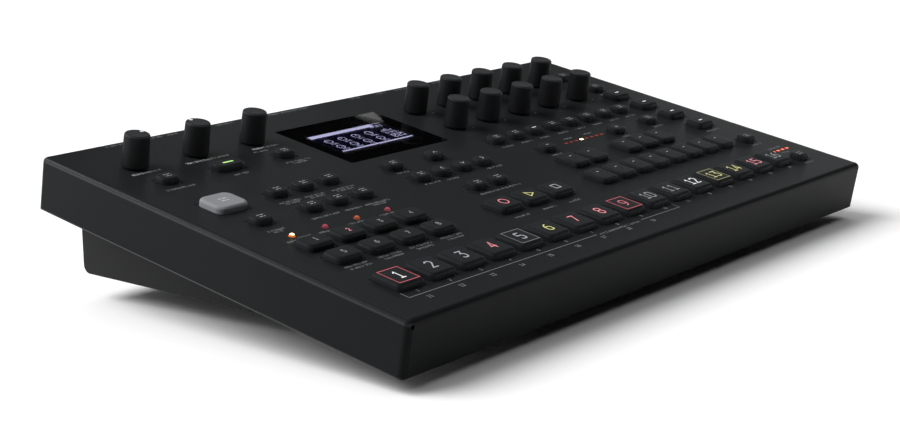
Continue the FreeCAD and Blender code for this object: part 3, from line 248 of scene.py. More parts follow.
@dataclass(frozen=True)
class PowderCoat(Finish):
    """Baked coat on steel: a fine even pebble, with slow changes of tone and gloss, and faint dust.

    Attributes:
        grain: Pebbles per metre.
        depth: How deep they are, in metres.
        shine: How strongly its face mirrors.
    """

    grain: float = 1300.0
    depth: float = 2.2e-5
    shine: float = 0.5

    def worked(self, paint: Paint, pebble: Signal, colour: Signal) -> tuple[Signal, dict[str, Value]]:
        """The colour with any painted edge highlight, and the further sockets that folding gives it: nothing
        new on a flat sheet.
        """
        return colour, {}

    def paint(self) -> bpy.types.Material:
        """Mixes the material.

        Returns:
            The material.
        """
        paint = Paint(self.name)
        cloud = paint.noise(14.0, 3.0)
        pebble = paint.noise(self.grain)
        speck = 1 - paint.cells(900.0).between(0.02, 0.08)
        base = paint.mixed(cloud, self.shade(0.86), self.shade(1.14))
        colour, more = self.worked(paint, pebble, paint.mixed(speck * 0.25, base, self.shade(5.0)))
        rough = self.roughness + (cloud - 0.5) * 0.10 + (pebble - 0.5) * 0.08
        return paint.done(paint.surface(
            base_color=colour, roughness=rough, normal=paint.relief(pebble, self.depth),
            specular_ior_level=self.shine, **more,
        ))


@dataclass(frozen=True)
class FoldedCoat(PowderCoat):
    """The same coat on the folded panel: a painted highlight along the lower edges of its sides, smooth on
    their bends.

    Attributes:
        rubbed: The painted highlight's colour along the sides' lower edges.
        side: From the middle to the sides' outer faces, in metres.
        edge: From the deck down to the cut edges.
        bend_across: From the middle, where a bend's smooth coat starts and is full.
        bend_down: From the deck down, where that coat thins out and ends.
    """

    # The colour of the painted highlight along the sides' lower edges.
    rubbed: Colour = tone(92, 92, 93)
    side: float = 0.1915
    edge: float = 0.0246
    bend_across: Place = (0.1899, 0.1907)
    bend_down: Place = (0.0018, 0.0026)

    def worked(self, paint: Paint, pebble: Signal, colour: Signal) -> tuple[Signal, dict[str, Value]]:
        """Adds the painted highlight along the sides' lower edges, and the smooth bends.

        Args:
            paint: The material's nodes.
            pebble: The coat's pebble.
            colour: Its colour away from the painted highlight.

        Returns:
            The colour with the painted edge highlight, and the sockets of the smooth coat.
        """
        rearward, rise = paint.axis("Y") - FRONT / 1000, DECK_RISE / 1000 - paint.axis("Z")
        down = rearward * math.sin(TILT) + rise * math.cos(TILT)
        across = paint.maths("ABSOLUTE", paint.axis("X"))
        outside = across.between(self.side - 0.0005, self.side)
        # A lighter band along the sides' lower edges: a painted highlight.
        edge_glint = down.between(self.edge - 0.00015, self.edge + 0.00005) * outside * (0.75 + pebble * 0.5)
        bend = across.between(*self.bend_across) * (1 - down.between(*self.bend_down))
        smooth = {"coat_weight": bend * 0.5, "coat_roughness": 0.36}
        return paint.mixed(edge_glint.between(0.0, 1.0), colour, self.rubbed), smooth


@dataclass(frozen=True)
class Moulding(Finish):
    """Moulded plastic or rubber: a spark-eroded grain, a little glossier where it is handled."""

    grain: float = 2400.0
    depth: float = 1.2e-5
    shine: float = 0.5

    def paint(self) -> bpy.types.Material:
        """Mixes the material.

        Returns:
            The material.
        """
        paint = Paint(self.name)
        touch = paint.noise(70.0)
        pits = paint.cells(self.grain)
        fine = paint.noise(self.grain * 1.7, 1.0)
        rough = self.roughness + (touch - 0.5) * 0.16 + (fine - 0.5) * 0.06
        return paint.done(paint.surface(
            base_color=paint.mixed(touch, self.shade(0.9), self.shade(1.1)), roughness=rough,
            normal=paint.relief(pits + fine, self.depth), specular_ior_level=self.shine,
        ))


@dataclass(frozen=True)
class Plating(Finish):
    """Bright metal with fine turning lines and a slight tarnish."""

    lines: float = 5200.0

    def paint(self) -> bpy.types.Material:
        """Mixes the material.

        Returns:
            The material.
        """
        paint = Paint(self.name)
        streak = paint.noise(self.lines, 1.0, paint.stretched(0.08, 1.0, 0.08))
        tarnish = paint.noise(220.0, 3.0)
        colour = paint.mixed(tarnish.between(0.35, 0.75), self.colour, self.shade(0.72))
        rough = self.roughness + (streak - 0.5) * 0.18 + (tarnish - 0.5) * 0.14
        return paint.done(paint.surface(
            base_color=colour, roughness=rough, metallic=1.0, normal=paint.relief(streak, 4e-6),
        ))


@dataclass(frozen=True)
class SmokedPane(Finish):
    """Clear acrylic with a grey tint, hard-coated, with faint wiping marks. The lamps' light passes it."""

    def paint(self) -> bpy.types.Material:
        """Mixes the material.

        Returns:
            The material.
        """
        paint = Paint(self.name)
        smear = paint.noise(55.0, 4.0, paint.stretched(1.0, 0.35, 1.0))
        rough = self.roughness + smear.between(0.5, 0.8) * 0.05
        acrylic = paint.surface(base_color=self.colour, roughness=rough, transmission_weight=1.0, ior=1.49)
        clear = paint.node("BsdfTransparent", {}, {"Color": self.colour})
        lamps = (paint.rays("Is Shadow Ray") + paint.rays("Is Diffuse Ray")).between(0.0, 1.0)
        return paint.done(paint.node("MixShader", {}, {0: lamps, 1: acrylic, 2: clear}))


@dataclass(frozen=True)
class Glow(Finish):
    """A lit legend, lamp or picture: an even light with a slightly dimmer grain."""

    strength: float = 1.0
    shine: float = 0.5

    def paint(self) -> bpy.types.Material:
        """Mixes the material.

        Returns:
            The material.
        """
        paint = Paint(self.name)
        grain = paint.noise(1600.0)
        return paint.done(paint.surface(
            base_color=self.shade(0.3), roughness=self.roughness, specular_ior_level=self.shine,
            emission_color=paint.mixed(grain.between(0.3, 0.7), self.shade(0.82), self.colour),
            emission_strength=self.strength,
        ))


@dataclass(frozen=True)
class Ink(Finish):
    """Screen-printed legend, thin at the edges of its dots."""

    def paint(self) -> bpy.types.Material:
        """Mixes the material.

        Returns:
            The material.
        """
        paint = Paint(self.name)
        mesh = paint.noise(2600.0)
        return paint.done(paint.surface(
            base_color=paint.mixed(mesh.between(0.3, 0.65), self.shade(0.55), self.colour),
            roughness=self.roughness + (mesh - 0.5) * 0.2, normal=paint.relief(mesh, 4e-6),
        ))


@dataclass(frozen=True)
class Laminate(Finish):
    """Circuit board: woven glass under a solder mask, with copper showing through as lighter runs."""

    def paint(self) -> bpy.types.Material:
        """Mixes the material.

        Returns:
            The material.
        """
        paint = Paint(self.name)
        runs = paint.noise(420.0, 0.0, paint.stretched(1.0, 0.12, 1.0)).between(0.48, 0.52)
        weave = paint.noise(1800.0, 1.0, paint.stretched(1.0, 1.0, 0.2))
        return paint.done(paint.surface(
            base_color=paint.mixed(runs, self.colour, self.shade(2.4)),
            roughness=self.roughness + (weave - 0.5) * 0.2, normal=paint.relief(runs + weave * 0.3, 2e-5),
        ))


@dataclass(frozen=True)
class Backdrop(Finish):
    """Pale paper, white to the eye, in reflections and through glass, that sheds less light than that.

    Attributes:
        bounce: How much of the light it sheds again.
        glow: How much light of its own it shows to the eye, in reflections and through glass.
    """

    bounce: float = 0.15
    glow: float = 0.0

    def paint(self) -> bpy.types.Material:
        """Mixes the material.

        Returns:
            The material.
        """
        paint = Paint(self.name)
        cloud = paint.noise(3.0)
        rays = paint.rays("Is Camera Ray") + paint.rays("Is Glossy Ray") + paint.rays("Is Transmission Ray")
        seen = rays.between(0.0, 1.0)
        paper = paint.mixed(cloud, self.shade(0.985), self.colour)
        return paint.done(paint.surface(
            base_color=paint.mixed(seen, self.shade(self.bounce), paper),
            roughness=self.roughness + (cloud - 0.5) * 0.1, specular_ior_level=0.0,
            emission_color=paint.mixed(seen, (0.0, 0.0, 0.0), self.colour), emission_strength=self.glow,
        ))


# The panel's coat carries a painted highlight along the lower edges of its sides.
PANEL_COAT = FoldedCoat("panel_coat", "black_steel", tone(31, 33, 34), 0.34, shine=0.05)
BASE_COAT = PowderCoat("base_coat", "black_steel", tone(31, 32, 33), 0.5, grain=1100.0, shine=0.15)
CONNECTOR_COAT = PowderCoat("connector_coat", "connector_plate", tone(30, 30, 31), 0.45)
KEY_PLASTIC = Moulding("key_plastic", "key_black", tone(30, 32, 34), 0.5, shine=0.22)
GREY_PLASTIC = Moulding("grey_plastic", "key_grey", tone(134, 135, 138), 0.5, shine=0.3)
DIAL_RUBBER = Moulding("dial_rubber", "dial_black", tone(23, 24, 26), 0.55, grain=3000.0, shine=0.16)
# A lighter copy of the dial rubber for the dials' tops: painted light where the top light falls.
DIAL_TOP_PAINTED_LIGHT = Moulding("dial_top_painted_light", "dial_black", tone(44, 45, 47), 0.5, grain=3000.0, shine=0.3)
BUTTON_PLASTIC = Moulding("button_plastic", "key_black", tone(34, 34, 35), 0.5)
# Near-black: the display frame's own black, darkened further as painted shade so the window reads black; also
# the painted shade inside the round sockets' contacts.
FRAME_BLACK_PAINTED_SHADE = Moulding("frame_black_painted_shade", "display", tone(4, 4, 5), 0.5, shine=0.05)
SOCKET_PLASTIC = Moulding("socket_plastic", "socket_black", tone(28, 28, 29), 0.45)
JACK_PLASTIC = Moulding("jack_plastic", "jack_black", tone(26, 26, 27), 0.4)
SWITCH_PLASTIC = Moulding("switch_plastic", "switch_housing", tone(150, 150, 150), 0.5)
FOOT_RUBBER = Moulding("foot_rubber", "foot_rubber", tone(33, 33, 33), 0.85, grain=1500.0, depth=3e-5)
BRIGHT_STEEL = Plating("bright_steel", "socket_steel", (0.62, 0.62, 0.63), 0.32)
ZINC = Plating("zinc", "control_metal", (0.55, 0.55, 0.53), 0.42)
BLACK_STEEL = Plating("black_screw", "screw_steel", (0.09, 0.09, 0.095), 0.38)
NICKEL = Plating("nickel", "jack_black", (0.5, 0.49, 0.47), 0.3)
GOLD = Plating("contact_gold", "jack_black", (0.75, 0.55, 0.22), 0.3)
PANE = SmokedPane("smoked_pane", "window_pane", (0.6, 0.61, 0.63), 0.02)
BOARD = Laminate("board", "circuit_board", (0.008, 0.045, 0.02), 0.35)
PRINT = Ink("panel_print", "black_steel", tone(142, 145, 148), 0.6)
BRIGHT_PRINT = Ink("bright_print", "black_steel", tone(205, 207, 210), 0.6)
FAINT_PRINT = Ink("faint_print", "black_steel", tone(125, 127, 130), 0.6)
KEY_PRINT = Ink("key_print", "key_black", tone(172, 174, 176), 0.5)
KEY_WHITE = Ink("key_white", "key_grey", tone(212, 213, 215), 0.5)
POINTER_PRINT = Ink("pointer_print", "dial_black", tone(255, 255, 255), 0.5)
WHITE_LIGHT = Glow("white_light", "key_black", tone(225, 225, 225), 0.4, 1.1)
DIM_LIGHT = Glow("dim_light", "key_black", tone(160, 163, 166), 0.4, 1.0)
PINK_LINE = Glow("pink_line", "key_black", tone(196, 92, 104), 0.4, 1.0)
GREY_LINE = Glow("grey_line", "key_black", tone(112, 115, 118), 0.4, 1.0)
YELLOW_LINE = Glow("yellow_line", "key_black", tone(150, 148, 105), 0.4, 1.0)
PINK_LIGHT = Glow("pink_light", "key_black", tone(225, 135, 145), 0.4, 1.0)
RED_LIGHT = Glow("red_light", "key_black", tone(195, 105, 115), 0.4, 1.0)
YELLOW_LIGHT = Glow("yellow_light", "key_black", tone(200, 198, 130), 0.4, 1.0)
GREEN_LIGHT = Glow("green_light", "key_black", tone(175, 225, 130), 0.4, 1.2)
LAMP_HOT = Glow("lamp_hot", "lamp", tone(255, 232, 170), 0.3, 4.0)
LAMP_AMBER = Glow("lamp_amber", "lamp", tone(205, 105, 45), 0.3, 1.0)
LAMP_WINE = Glow("lamp_wine", "lamp", tone(120, 45, 58), 0.3, 0.9)
LAMP_RUST = Glow("lamp_rust", "lamp", tone(130, 65, 45), 0.3, 0.9)
LAMP_RED = Glow("lamp_red", "lamp", tone(165, 70, 84), 0.3, 0.9)
LAMP_ORANGE = Glow("lamp_orange", "lamp", tone(180, 95, 65), 0.3, 0.9)
LAMP_EMBER = Glow("lamp_ember", "lamp", tone(122, 45, 38), 0.3, 0.9)
LAMP_CORAL = Glow("lamp_coral", "lamp", tone(250, 110, 80), 0.3, 1.3)
PICTURE = Glow("picture", "display", tone(208, 206, 244), 0.6, 1.9, shine=0.0)
PICTURE_FIELD = Glow("picture_field", "display", tone(8, 8, 34), 0.6, 1.0, shine=0.0)
FLOOR = Backdrop("floor", "none", (0.98, 0.98, 0.98), 0.9)
WALL = Backdrop("wall", "none", (0.98, 0.98, 0.98), 0.9, glow=0.45)


class Paintbox:
    """Every finish is mixed once, when a surface first takes it."""

    def __init__(self) -> None:
        """Starts with nothing mixed."""
        self.mixed: dict[str, bpy.types.Material] = {}

    def of(self, finish: Finish) -> bpy.types.Material:
        """The material of a finish.

        Args:
            finish: The finish.

        Returns:
            Its material, mixed now if it is new.
        """
        if finish.name not in self.mixed:
            self.mixed[finish.name] = finish.paint()
        return self.mixed[finish.name]


PAINTS = Paintbox()


# Meshes.


def rounded(width: float, depth: float, corner: float, height: float, steps: int = 4) -> list[Point]:
    """The outline of a rectangle with round corners, about the middle.

    Args:
        width: Its size in x.
        depth: Its size in y.
        corner: The corners' radius.
        height: Its z.
        steps: Sides in each corner.

    Returns:
        Its points, counterclockwise.
    """
    corner = min(corner, width / 2 - 0.01, depth / 2 - 0.01)
    points = []
    for quarter, (across, along) in enumerate(((1, 1), (-1, 1), (-1, -1), (1, -1))):
        x, y = across * (width / 2 - corner), along * (depth / 2 - corner)
        for step in range(steps + 1):
            angle = (quarter + step / steps) * math.pi / 2
            points.append((x + corner * math.cos(angle), y + corner * math.sin(angle), height))
    return points


def row(u: float, v: float, count: int, pitch: float, along: bool = False) -> list[Place]:
    """Evenly spaced places, to the right or, with along, to the rear."""
    return [(u + (0 if along else i * pitch), v + (i * pitch if along else 0)) for i in range(count)]


class Shell:
    """The mesh of one piece while it is drawn, in millimetres of a working frame."""

    crisp = math.radians(38)

    def __init__(self, working_frame: Matrix) -> None:
        """Starts an empty mesh.

        Args:
            working_frame: Takes the working frame to the row frame.
        """
        self.mesh = bmesh.new()
        self.working_frame = working_frame
        self.pose = Matrix.Identity(4)
        self.finishes: list[Finish] = []
        self.index = 0

    def use(self, finish: Finish) -> None:
        """Chooses the finish of the faces drawn next.

        Args:
            finish: The finish.
        """
        if finish not in self.finishes:
            self.finishes.append(finish)
        self.index = self.finishes.index(finish)

    def at(self, x: float, y: float, z: float = 0.0, lean: float = 0.0) -> None:
        """What is drawn next stands here, its z leaning towards the rear by an angle in degrees."""
        self.pose = Matrix.Translation((x, y, z)) @ Matrix.Rotation(math.radians(-lean), 4, "X")

    def ring(self, points: Iterable[Point]) -> list[bmesh.types.BMVert]:
        """Vertices at points of the current pose."""
        return [self.mesh.verts.new(self.pose @ Vector(point)) for point in points]

    def face(self, corners: Sequence[bmesh.types.BMVert]) -> None:
        """One face of the current finish."""
        self.mesh.faces.new(corners).material_index = self.index

    def loft(self, outlines: Sequence[Sequence[Point]], capped: bool = True) -> None:
        """A skin through closed outlines with as many points each.

        Args:
            outlines: The outlines, in order.
            capped: Whether the first and last one are filled.
        """
        rings = [self.ring(outline) for outline in outlines]
        for lower, upper in zip(rings, rings[1:]):
            count = len(lower)
            for i in range(count):
                j = (i + 1) % count
                self.face((lower[i], lower[j], upper[j], upper[i]))
        if capped:
            self.face(rings[0][::-1])
            self.face(rings[-1])

    def lathe(
        self, profile: Sequence[Place], steps: int = 48, changes: dict[int, Finish] | None = None,
    ) -> None:
        """A turned form about z.

        Args:
            profile: Radius and height, from one end to the other. An end on the axis closes to a point.
            steps: Sides round the axis.
            changes: The finishes taken on the way, each by the number of the profile's point where it starts.
        """
        turns = [2 * math.pi * i / steps for i in range(steps)]
        rings = [
            self.ring([(0.0, 0.0, height)] if radius == 0 else
                      [(radius * math.cos(turn), radius * math.sin(turn), height) for turn in turns])
            for radius, height in profile
        ]
        for start, (lower, upper) in enumerate(zip(rings, rings[1:])):
            if changes and start in changes:
                self.use(changes[start])
            for i in range(steps):
                j = (i + 1) % steps
                corners = [lower[i % len(lower)], lower[j % len(lower)]]
                corners += [upper[j % len(upper)], upper[i % len(upper)]]
                self.face(list(dict.fromkeys(corners)))

    def slab(
        self, width: float, depth: float, low: float, high: float, corner: float = 0.3, edge: float = 0.1,
    ) -> None:
        """A plate with round corners and a small slope round its top, about the pose's middle.

        Args:
            width: Its size in x.
            depth: Its size in y.
            low: Its lower z.
            high: Its upper z.
            corner: The corners' radius.
            edge: The slope's size.
        """
        self.loft([
            rounded(width, depth, corner, low),
            rounded(width, depth, corner, high - edge),
            rounded(width - 2 * edge, depth - 2 * edge, max(corner - edge, 0.05), high),
        ])

    def ribbon(self, path: Sequence[Place], width: float, height: float = 0.0) -> None:
        """A flat stroke along a path, with mitred corners. A path that ends where it starts is closed.

        Args:
            path: Its corners.
            width: Its width.
            height: Its z.
        """
        closed = len(path) > 2 and path[0] == path[-1]
        points = [Vector(point) for point in (path[:-1] if closed else path)]
        count = len(points)
        sides: tuple[list[Point], list[Point]] = ([], [])
        for i, point in enumerate(points):
            before = (point - points[i - 1]).normalized() if closed or i > 0 else None
            after = (points[(i + 1) % count] - point).normalized() if closed or i < count - 1 else None
            before, after = before or after, after or before
            across = (before + after).normalized().orthogonal()
            reach = width / 2 / max(across.dot(before.orthogonal()), 0.5)
            for side, sign in zip(sides, (1, -1)):
                side.append((*(point + across * reach * sign), height))
        left, right = self.ring(sides[0]), self.ring(sides[1])
        for i in range(count if closed else count - 1):
            j = (i + 1) % count
            self.face((right[i], right[j], left[j], left[i]))

    def disc(self, radius: float, height: float, steps: int = 20) -> None:
        """A flat round spot."""
        turns = [2 * math.pi * i / steps for i in range(steps)]
        self.face(self.ring((radius * math.cos(turn), radius * math.sin(turn), height) for turn in turns))

    def piece(self, name: str, body: str, *nodes: str, solid: bool = True) -> bpy.types.Object:
        """Makes the piece, which rides on a body.

        Args:
            name: The piece's name.
            body: The body it moves with.
            nodes: Construction nodes that it stands for.
            solid: Whether it is closed, so that its faces can be turned outwards.

        Returns:
            The piece.
        """
        self.mesh.transform(self.working_frame)
        if solid:
            bmesh.ops.recalc_face_normals(self.mesh, faces=self.mesh.faces)
        data = bpy.data.meshes.new(name)
        self.mesh.to_mesh(data)
        self.mesh.free()
        for finish in self.finishes:
            data.materials.append(PAINTS.of(finish))
        data.shade_smooth()
        data.set_sharp_from_angle(angle=self.crisp)
        made = bpy.data.objects.new(name, data)
        bpy.context.scene.collection.objects.link(made)
        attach(made, body)
        if nodes:
            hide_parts(*nodes)
        log.info("%s: %d faces", name, len(data.polygons))
        return made


# Figures and signs, drawn with strokes of one width.

FIGURES: dict[str, tuple[tuple[Place, ...], ...]] = {
    "0": (((1, 0), (3, 0), (4, 1), (4, 6), (3, 7), (1, 7), (0, 6), (0, 1), (1, 0)),),
    "1": (((0.6, 5.6), (2.1, 7), (2.1, 0)), ((0.4, 0), (3.8, 0))),
    "2": (((0, 5.8), (1, 7), (3, 7), (4, 6), (4, 4.7), (0, 0), (4, 0)),),
    "3": (((0, 7), (4, 7), (1.8, 4.2), (3, 4.2), (4, 3.2), (4, 1), (3, 0), (1, 0), (0, 1)),),
    "4": (((3, 0), (3, 7), (0, 2), (4, 2)),),
    "5": (((3.8, 7), (0.4, 7), (0.2, 4), (3, 4), (4, 3), (4, 1), (3, 0), (1, 0), (0, 0.8)),),
    "6": (((3.4, 7), (1.4, 6), (0, 4), (0, 1), (1, 0), (3, 0), (4, 1), (4, 3), (3, 4), (0, 4)),),
    "7": (((0, 7), (4, 7), (1.4, 0)),),
    "8": (((1, 3.8), (0, 4.8), (0, 6), (1, 7), (3, 7), (4, 6), (4, 4.8), (3, 3.8), (1, 3.8)),
          ((1, 3.8), (0, 2.8), (0, 1), (1, 0), (3, 0), (4, 1), (4, 2.8), (3, 3.8))),
    "9": (((0.6, 0), (2.6, 1), (4, 3), (4, 6), (3, 7), (1, 7), (0, 6), (0, 4), (1, 3), (4, 3)),),
}


def circle(radius: float, steps: int = 24) -> tuple[Place, ...]:
    """A closed round path."""
    turns = [2 * math.pi * (i % steps) / steps for i in range(steps + 1)]
    return tuple((radius * math.cos(turn), radius * math.sin(turn)) for turn in turns)


def hexagon(reach: float, height: float) -> list[Point]:
    """A six-sided outline, by the distance to its corners."""
    return [(*point, height) for point in circle(reach, 6)[:-1]]


def box(across: float, along: float) -> tuple[Place, ...]:
    """A closed rectangular path, by its half sizes."""
    return (-across, -along), (across, -along), (across, along), (-across, along), (-across, -along)


class Sign(Enum):
    """What a cap may carry besides a figure: paths in a square from -1 to 1."""

    DASH = (((-1.0, 0.0), (1.0, 0.0)),)
    LINES = (
        ((-1.0, 0.45), (-0.3, 0.45)), ((-0.05, 0.45), (0.95, 0.45)),
        ((-0.9, -0.45), (0.1, -0.45)), ((0.35, -0.45), (0.85, -0.45)),
    )
    RING = (circle(1.0),)
    TRIANGLE = (((-0.8, -0.95), (0.95, 0.0), (-0.8, 0.95), (-0.8, -0.95)),)
    SQUARE = (box(0.8, 0.8),)
    LEFT = (((0.4, 0.8), (-0.5, 0.0), (0.4, -0.8)),)
    RIGHT = (((-0.4, 0.8), (0.5, 0.0), (-0.4, -0.8)),)
    UP = (((-0.8, -0.4), (0.0, 0.5), (0.8, -0.4)),)
    DOWN = (((-0.8, 0.4), (0.0, -0.5), (0.8, 0.4)),)
    PLUS = (((-0.8, 0.0), (0.8, 0.0)), ((0.0, -0.8), (0.0, 0.8)))


class Pen:
    """Draws figures, signs and lines of dashes on a shell."""

    def __init__(self, shell: Shell) -> None:
        """Takes the shell it draws on."""
        self.shell = shell

    def number(self, text: str, height: float, stroke: float, lift: float) -> None:
        """Figures about the pose's middle.

        Args:
            text: The figures.
            height: How tall they are.
            stroke: Their line's width.
            lift: Their z.
        """
        wide, tall, pitch = 4.0, 7.0, 5.6
        scale = height / tall
        span = (len(text) - 1) * pitch + wide
        for index, figure in enumerate(text):
            left = index * pitch - span / 2
            for path in FIGURES[figure]:
                points = [((x + left) * scale, (y - tall / 2) * scale) for x, y in path]
                self.shell.ribbon(points, stroke, lift)

    def sign(self, sign: Sign, size: float, stroke: float, lift: float) -> None:
        """A sign about the pose's middle, by its half width."""
        for path in sign.value:
            self.shell.ribbon([(x * size, y * size) for x, y in path], stroke, lift)

    def words(self, place: Place, length: float, seed: int, lift: float, stroke: float = 0.42) -> None:
        """A line of small print that stands for words: short marks of uneven length in groups.

        Args:
            place: The middle of the line.
            length: How long it is.
            seed: Gives this line its own rhythm.
            lift: Its z.
            stroke: How heavy its marks are.
        """
        chance = Random(seed)
        self.shell.at(*place)
        step, gap, gaps, bar, short_bar = 0.92, 1.75, 0.12, 0.62, 0.55
        x, tall, line = -length / 2, stroke * 2.6, stroke * 0.62
        while x < length / 2:
            form = chance.randrange(5)
            paths: list[tuple[Place, Place]] = [((x, -tall / 2), (x, tall / 2))] if form != 3 else []
            if form in (1, 2, 3):
                paths.append(((x - line / 2, -tall / 2), (x + bar, -tall / 2)))
            if form in (2, 4):
                paths.append(((x - line / 2, 0.0), (x + short_bar, 0.0)))
            if form in (1, 3, 4):
                paths.append(((x - line / 2, tall / 2), (x + bar, tall / 2)))
            for path in paths:
                self.shell.ribbon(path, line, lift)
            x += gap if chance.random() < gaps else step


# The keys.


@dataclass(frozen=True)
class CapShape:
    """A cap's size in millimetres, its height over the panel, with a soft edge round its top."""

    width: float
    depth: float
    height: float
    slope: float
    corner: float

    def skirt(self) -> list[list[Point]]:
        """What stays in the panel: a flange under it and a square neck that fills the cut-out.

        Returns:
            Outlines, from below up to just under the panel's top.
        """
        foot, rim, reach, neck, flush = 2.7, 1.6, 1.1, 0.7, -0.03
        return [
            rounded(self.width - 2 * inset, self.depth - 2 * inset, neck, height, 3)
            for inset, height in ((-reach, -foot), (-reach, -rim), (0.0, -rim), (0.0, flush))
        ]

    def crown(self) -> list[list[Point]]:
        """What shows over the panel: an upright wall, a soft edge and a nearly flat top.

        Returns:
            Outlines, from below up.
        """
        slope, height = self.slope, self.height
        edge = height - slope
        soft = [
            (0.0, -0.6), (0.0, edge - 0.35), (0.06, edge - 0.08), (0.24, edge + slope * 0.2),
            (slope * 0.55, edge + slope * 0.55), (slope * 0.85, edge + slope * 0.8),
            (slope + 0.05, height - slope * 0.08), (slope + 0.4, height - 0.01), (slope + 0.8, height),
        ]
        width, depth, corner = self.width, self.depth, self.corner
        return [
            rounded(width - 2 * inset, depth - 2 * inset, max(corner - inset * 0.5, 0.45), rise, 6)
            for inset, rise in soft
        ]


class Cap(Enum):
    """The kinds of cap."""

    STEP = CapShape(16.2, 16.2, 3.3, 1.1, 2.2)
    PAGE = CapShape(15.8, 10.8, 3.3, 1.0, 2.6)
    TRANSPORT = CapShape(16.4, 13.6, 3.3, 1.1, 2.4)
    FUNCTION = CapShape(18.4, 15.8, 3.3, 0.9, 4.0)
    NOTE = CapShape(12.7, 14.6, 3.0, 0.6, 2.2)
    SMALL = CapShape(10.4, 8.2, 3.1, 0.65, 3.0)
    WIDE = CapShape(16.8, 8.2, 3.1, 0.65, 3.2)


@dataclass(frozen=True)
class Mark:
    """What shows on a cap.

    Attributes:
        content: Figures or a sign.
        size: The figures' height or the sign's half width.
        stroke: Its line's width.
        finish: Its finish.
        border: The finish of a border round it, if it has one.
        shift: How far it stands behind the cap's middle.
    """

    content: str | Sign
    size: float
    stroke: float
    finish: Finish
    border: Finish | None = None
    shift: float = 0.0

    def draw(self, shell: Shell, place: Place, lift: float) -> None:
        """Draws it.

        Args:
            shell: What it is drawn on.
            place: The cap's middle.
            lift: The mark's height over the deck.
        """
        pen = Pen(shell)
        shell.at(place[0], place[1] + self.shift)
        shell.use(self.finish)
        if isinstance(self.content, Sign):
            pen.sign(self.content, self.size, self.stroke, lift)
        else:
            pen.number(self.content, self.size, self.stroke, lift)
        if self.border:
            shell.use(self.border)
            shell.ribbon(box(6.2, 6.2), 0.42, lift)


@dataclass(frozen=True)
class Key:
    """One cap at its place on the deck."""

    cap: Cap
    place: Place
    mark: Mark


Keys = dict[str, list[Key]]


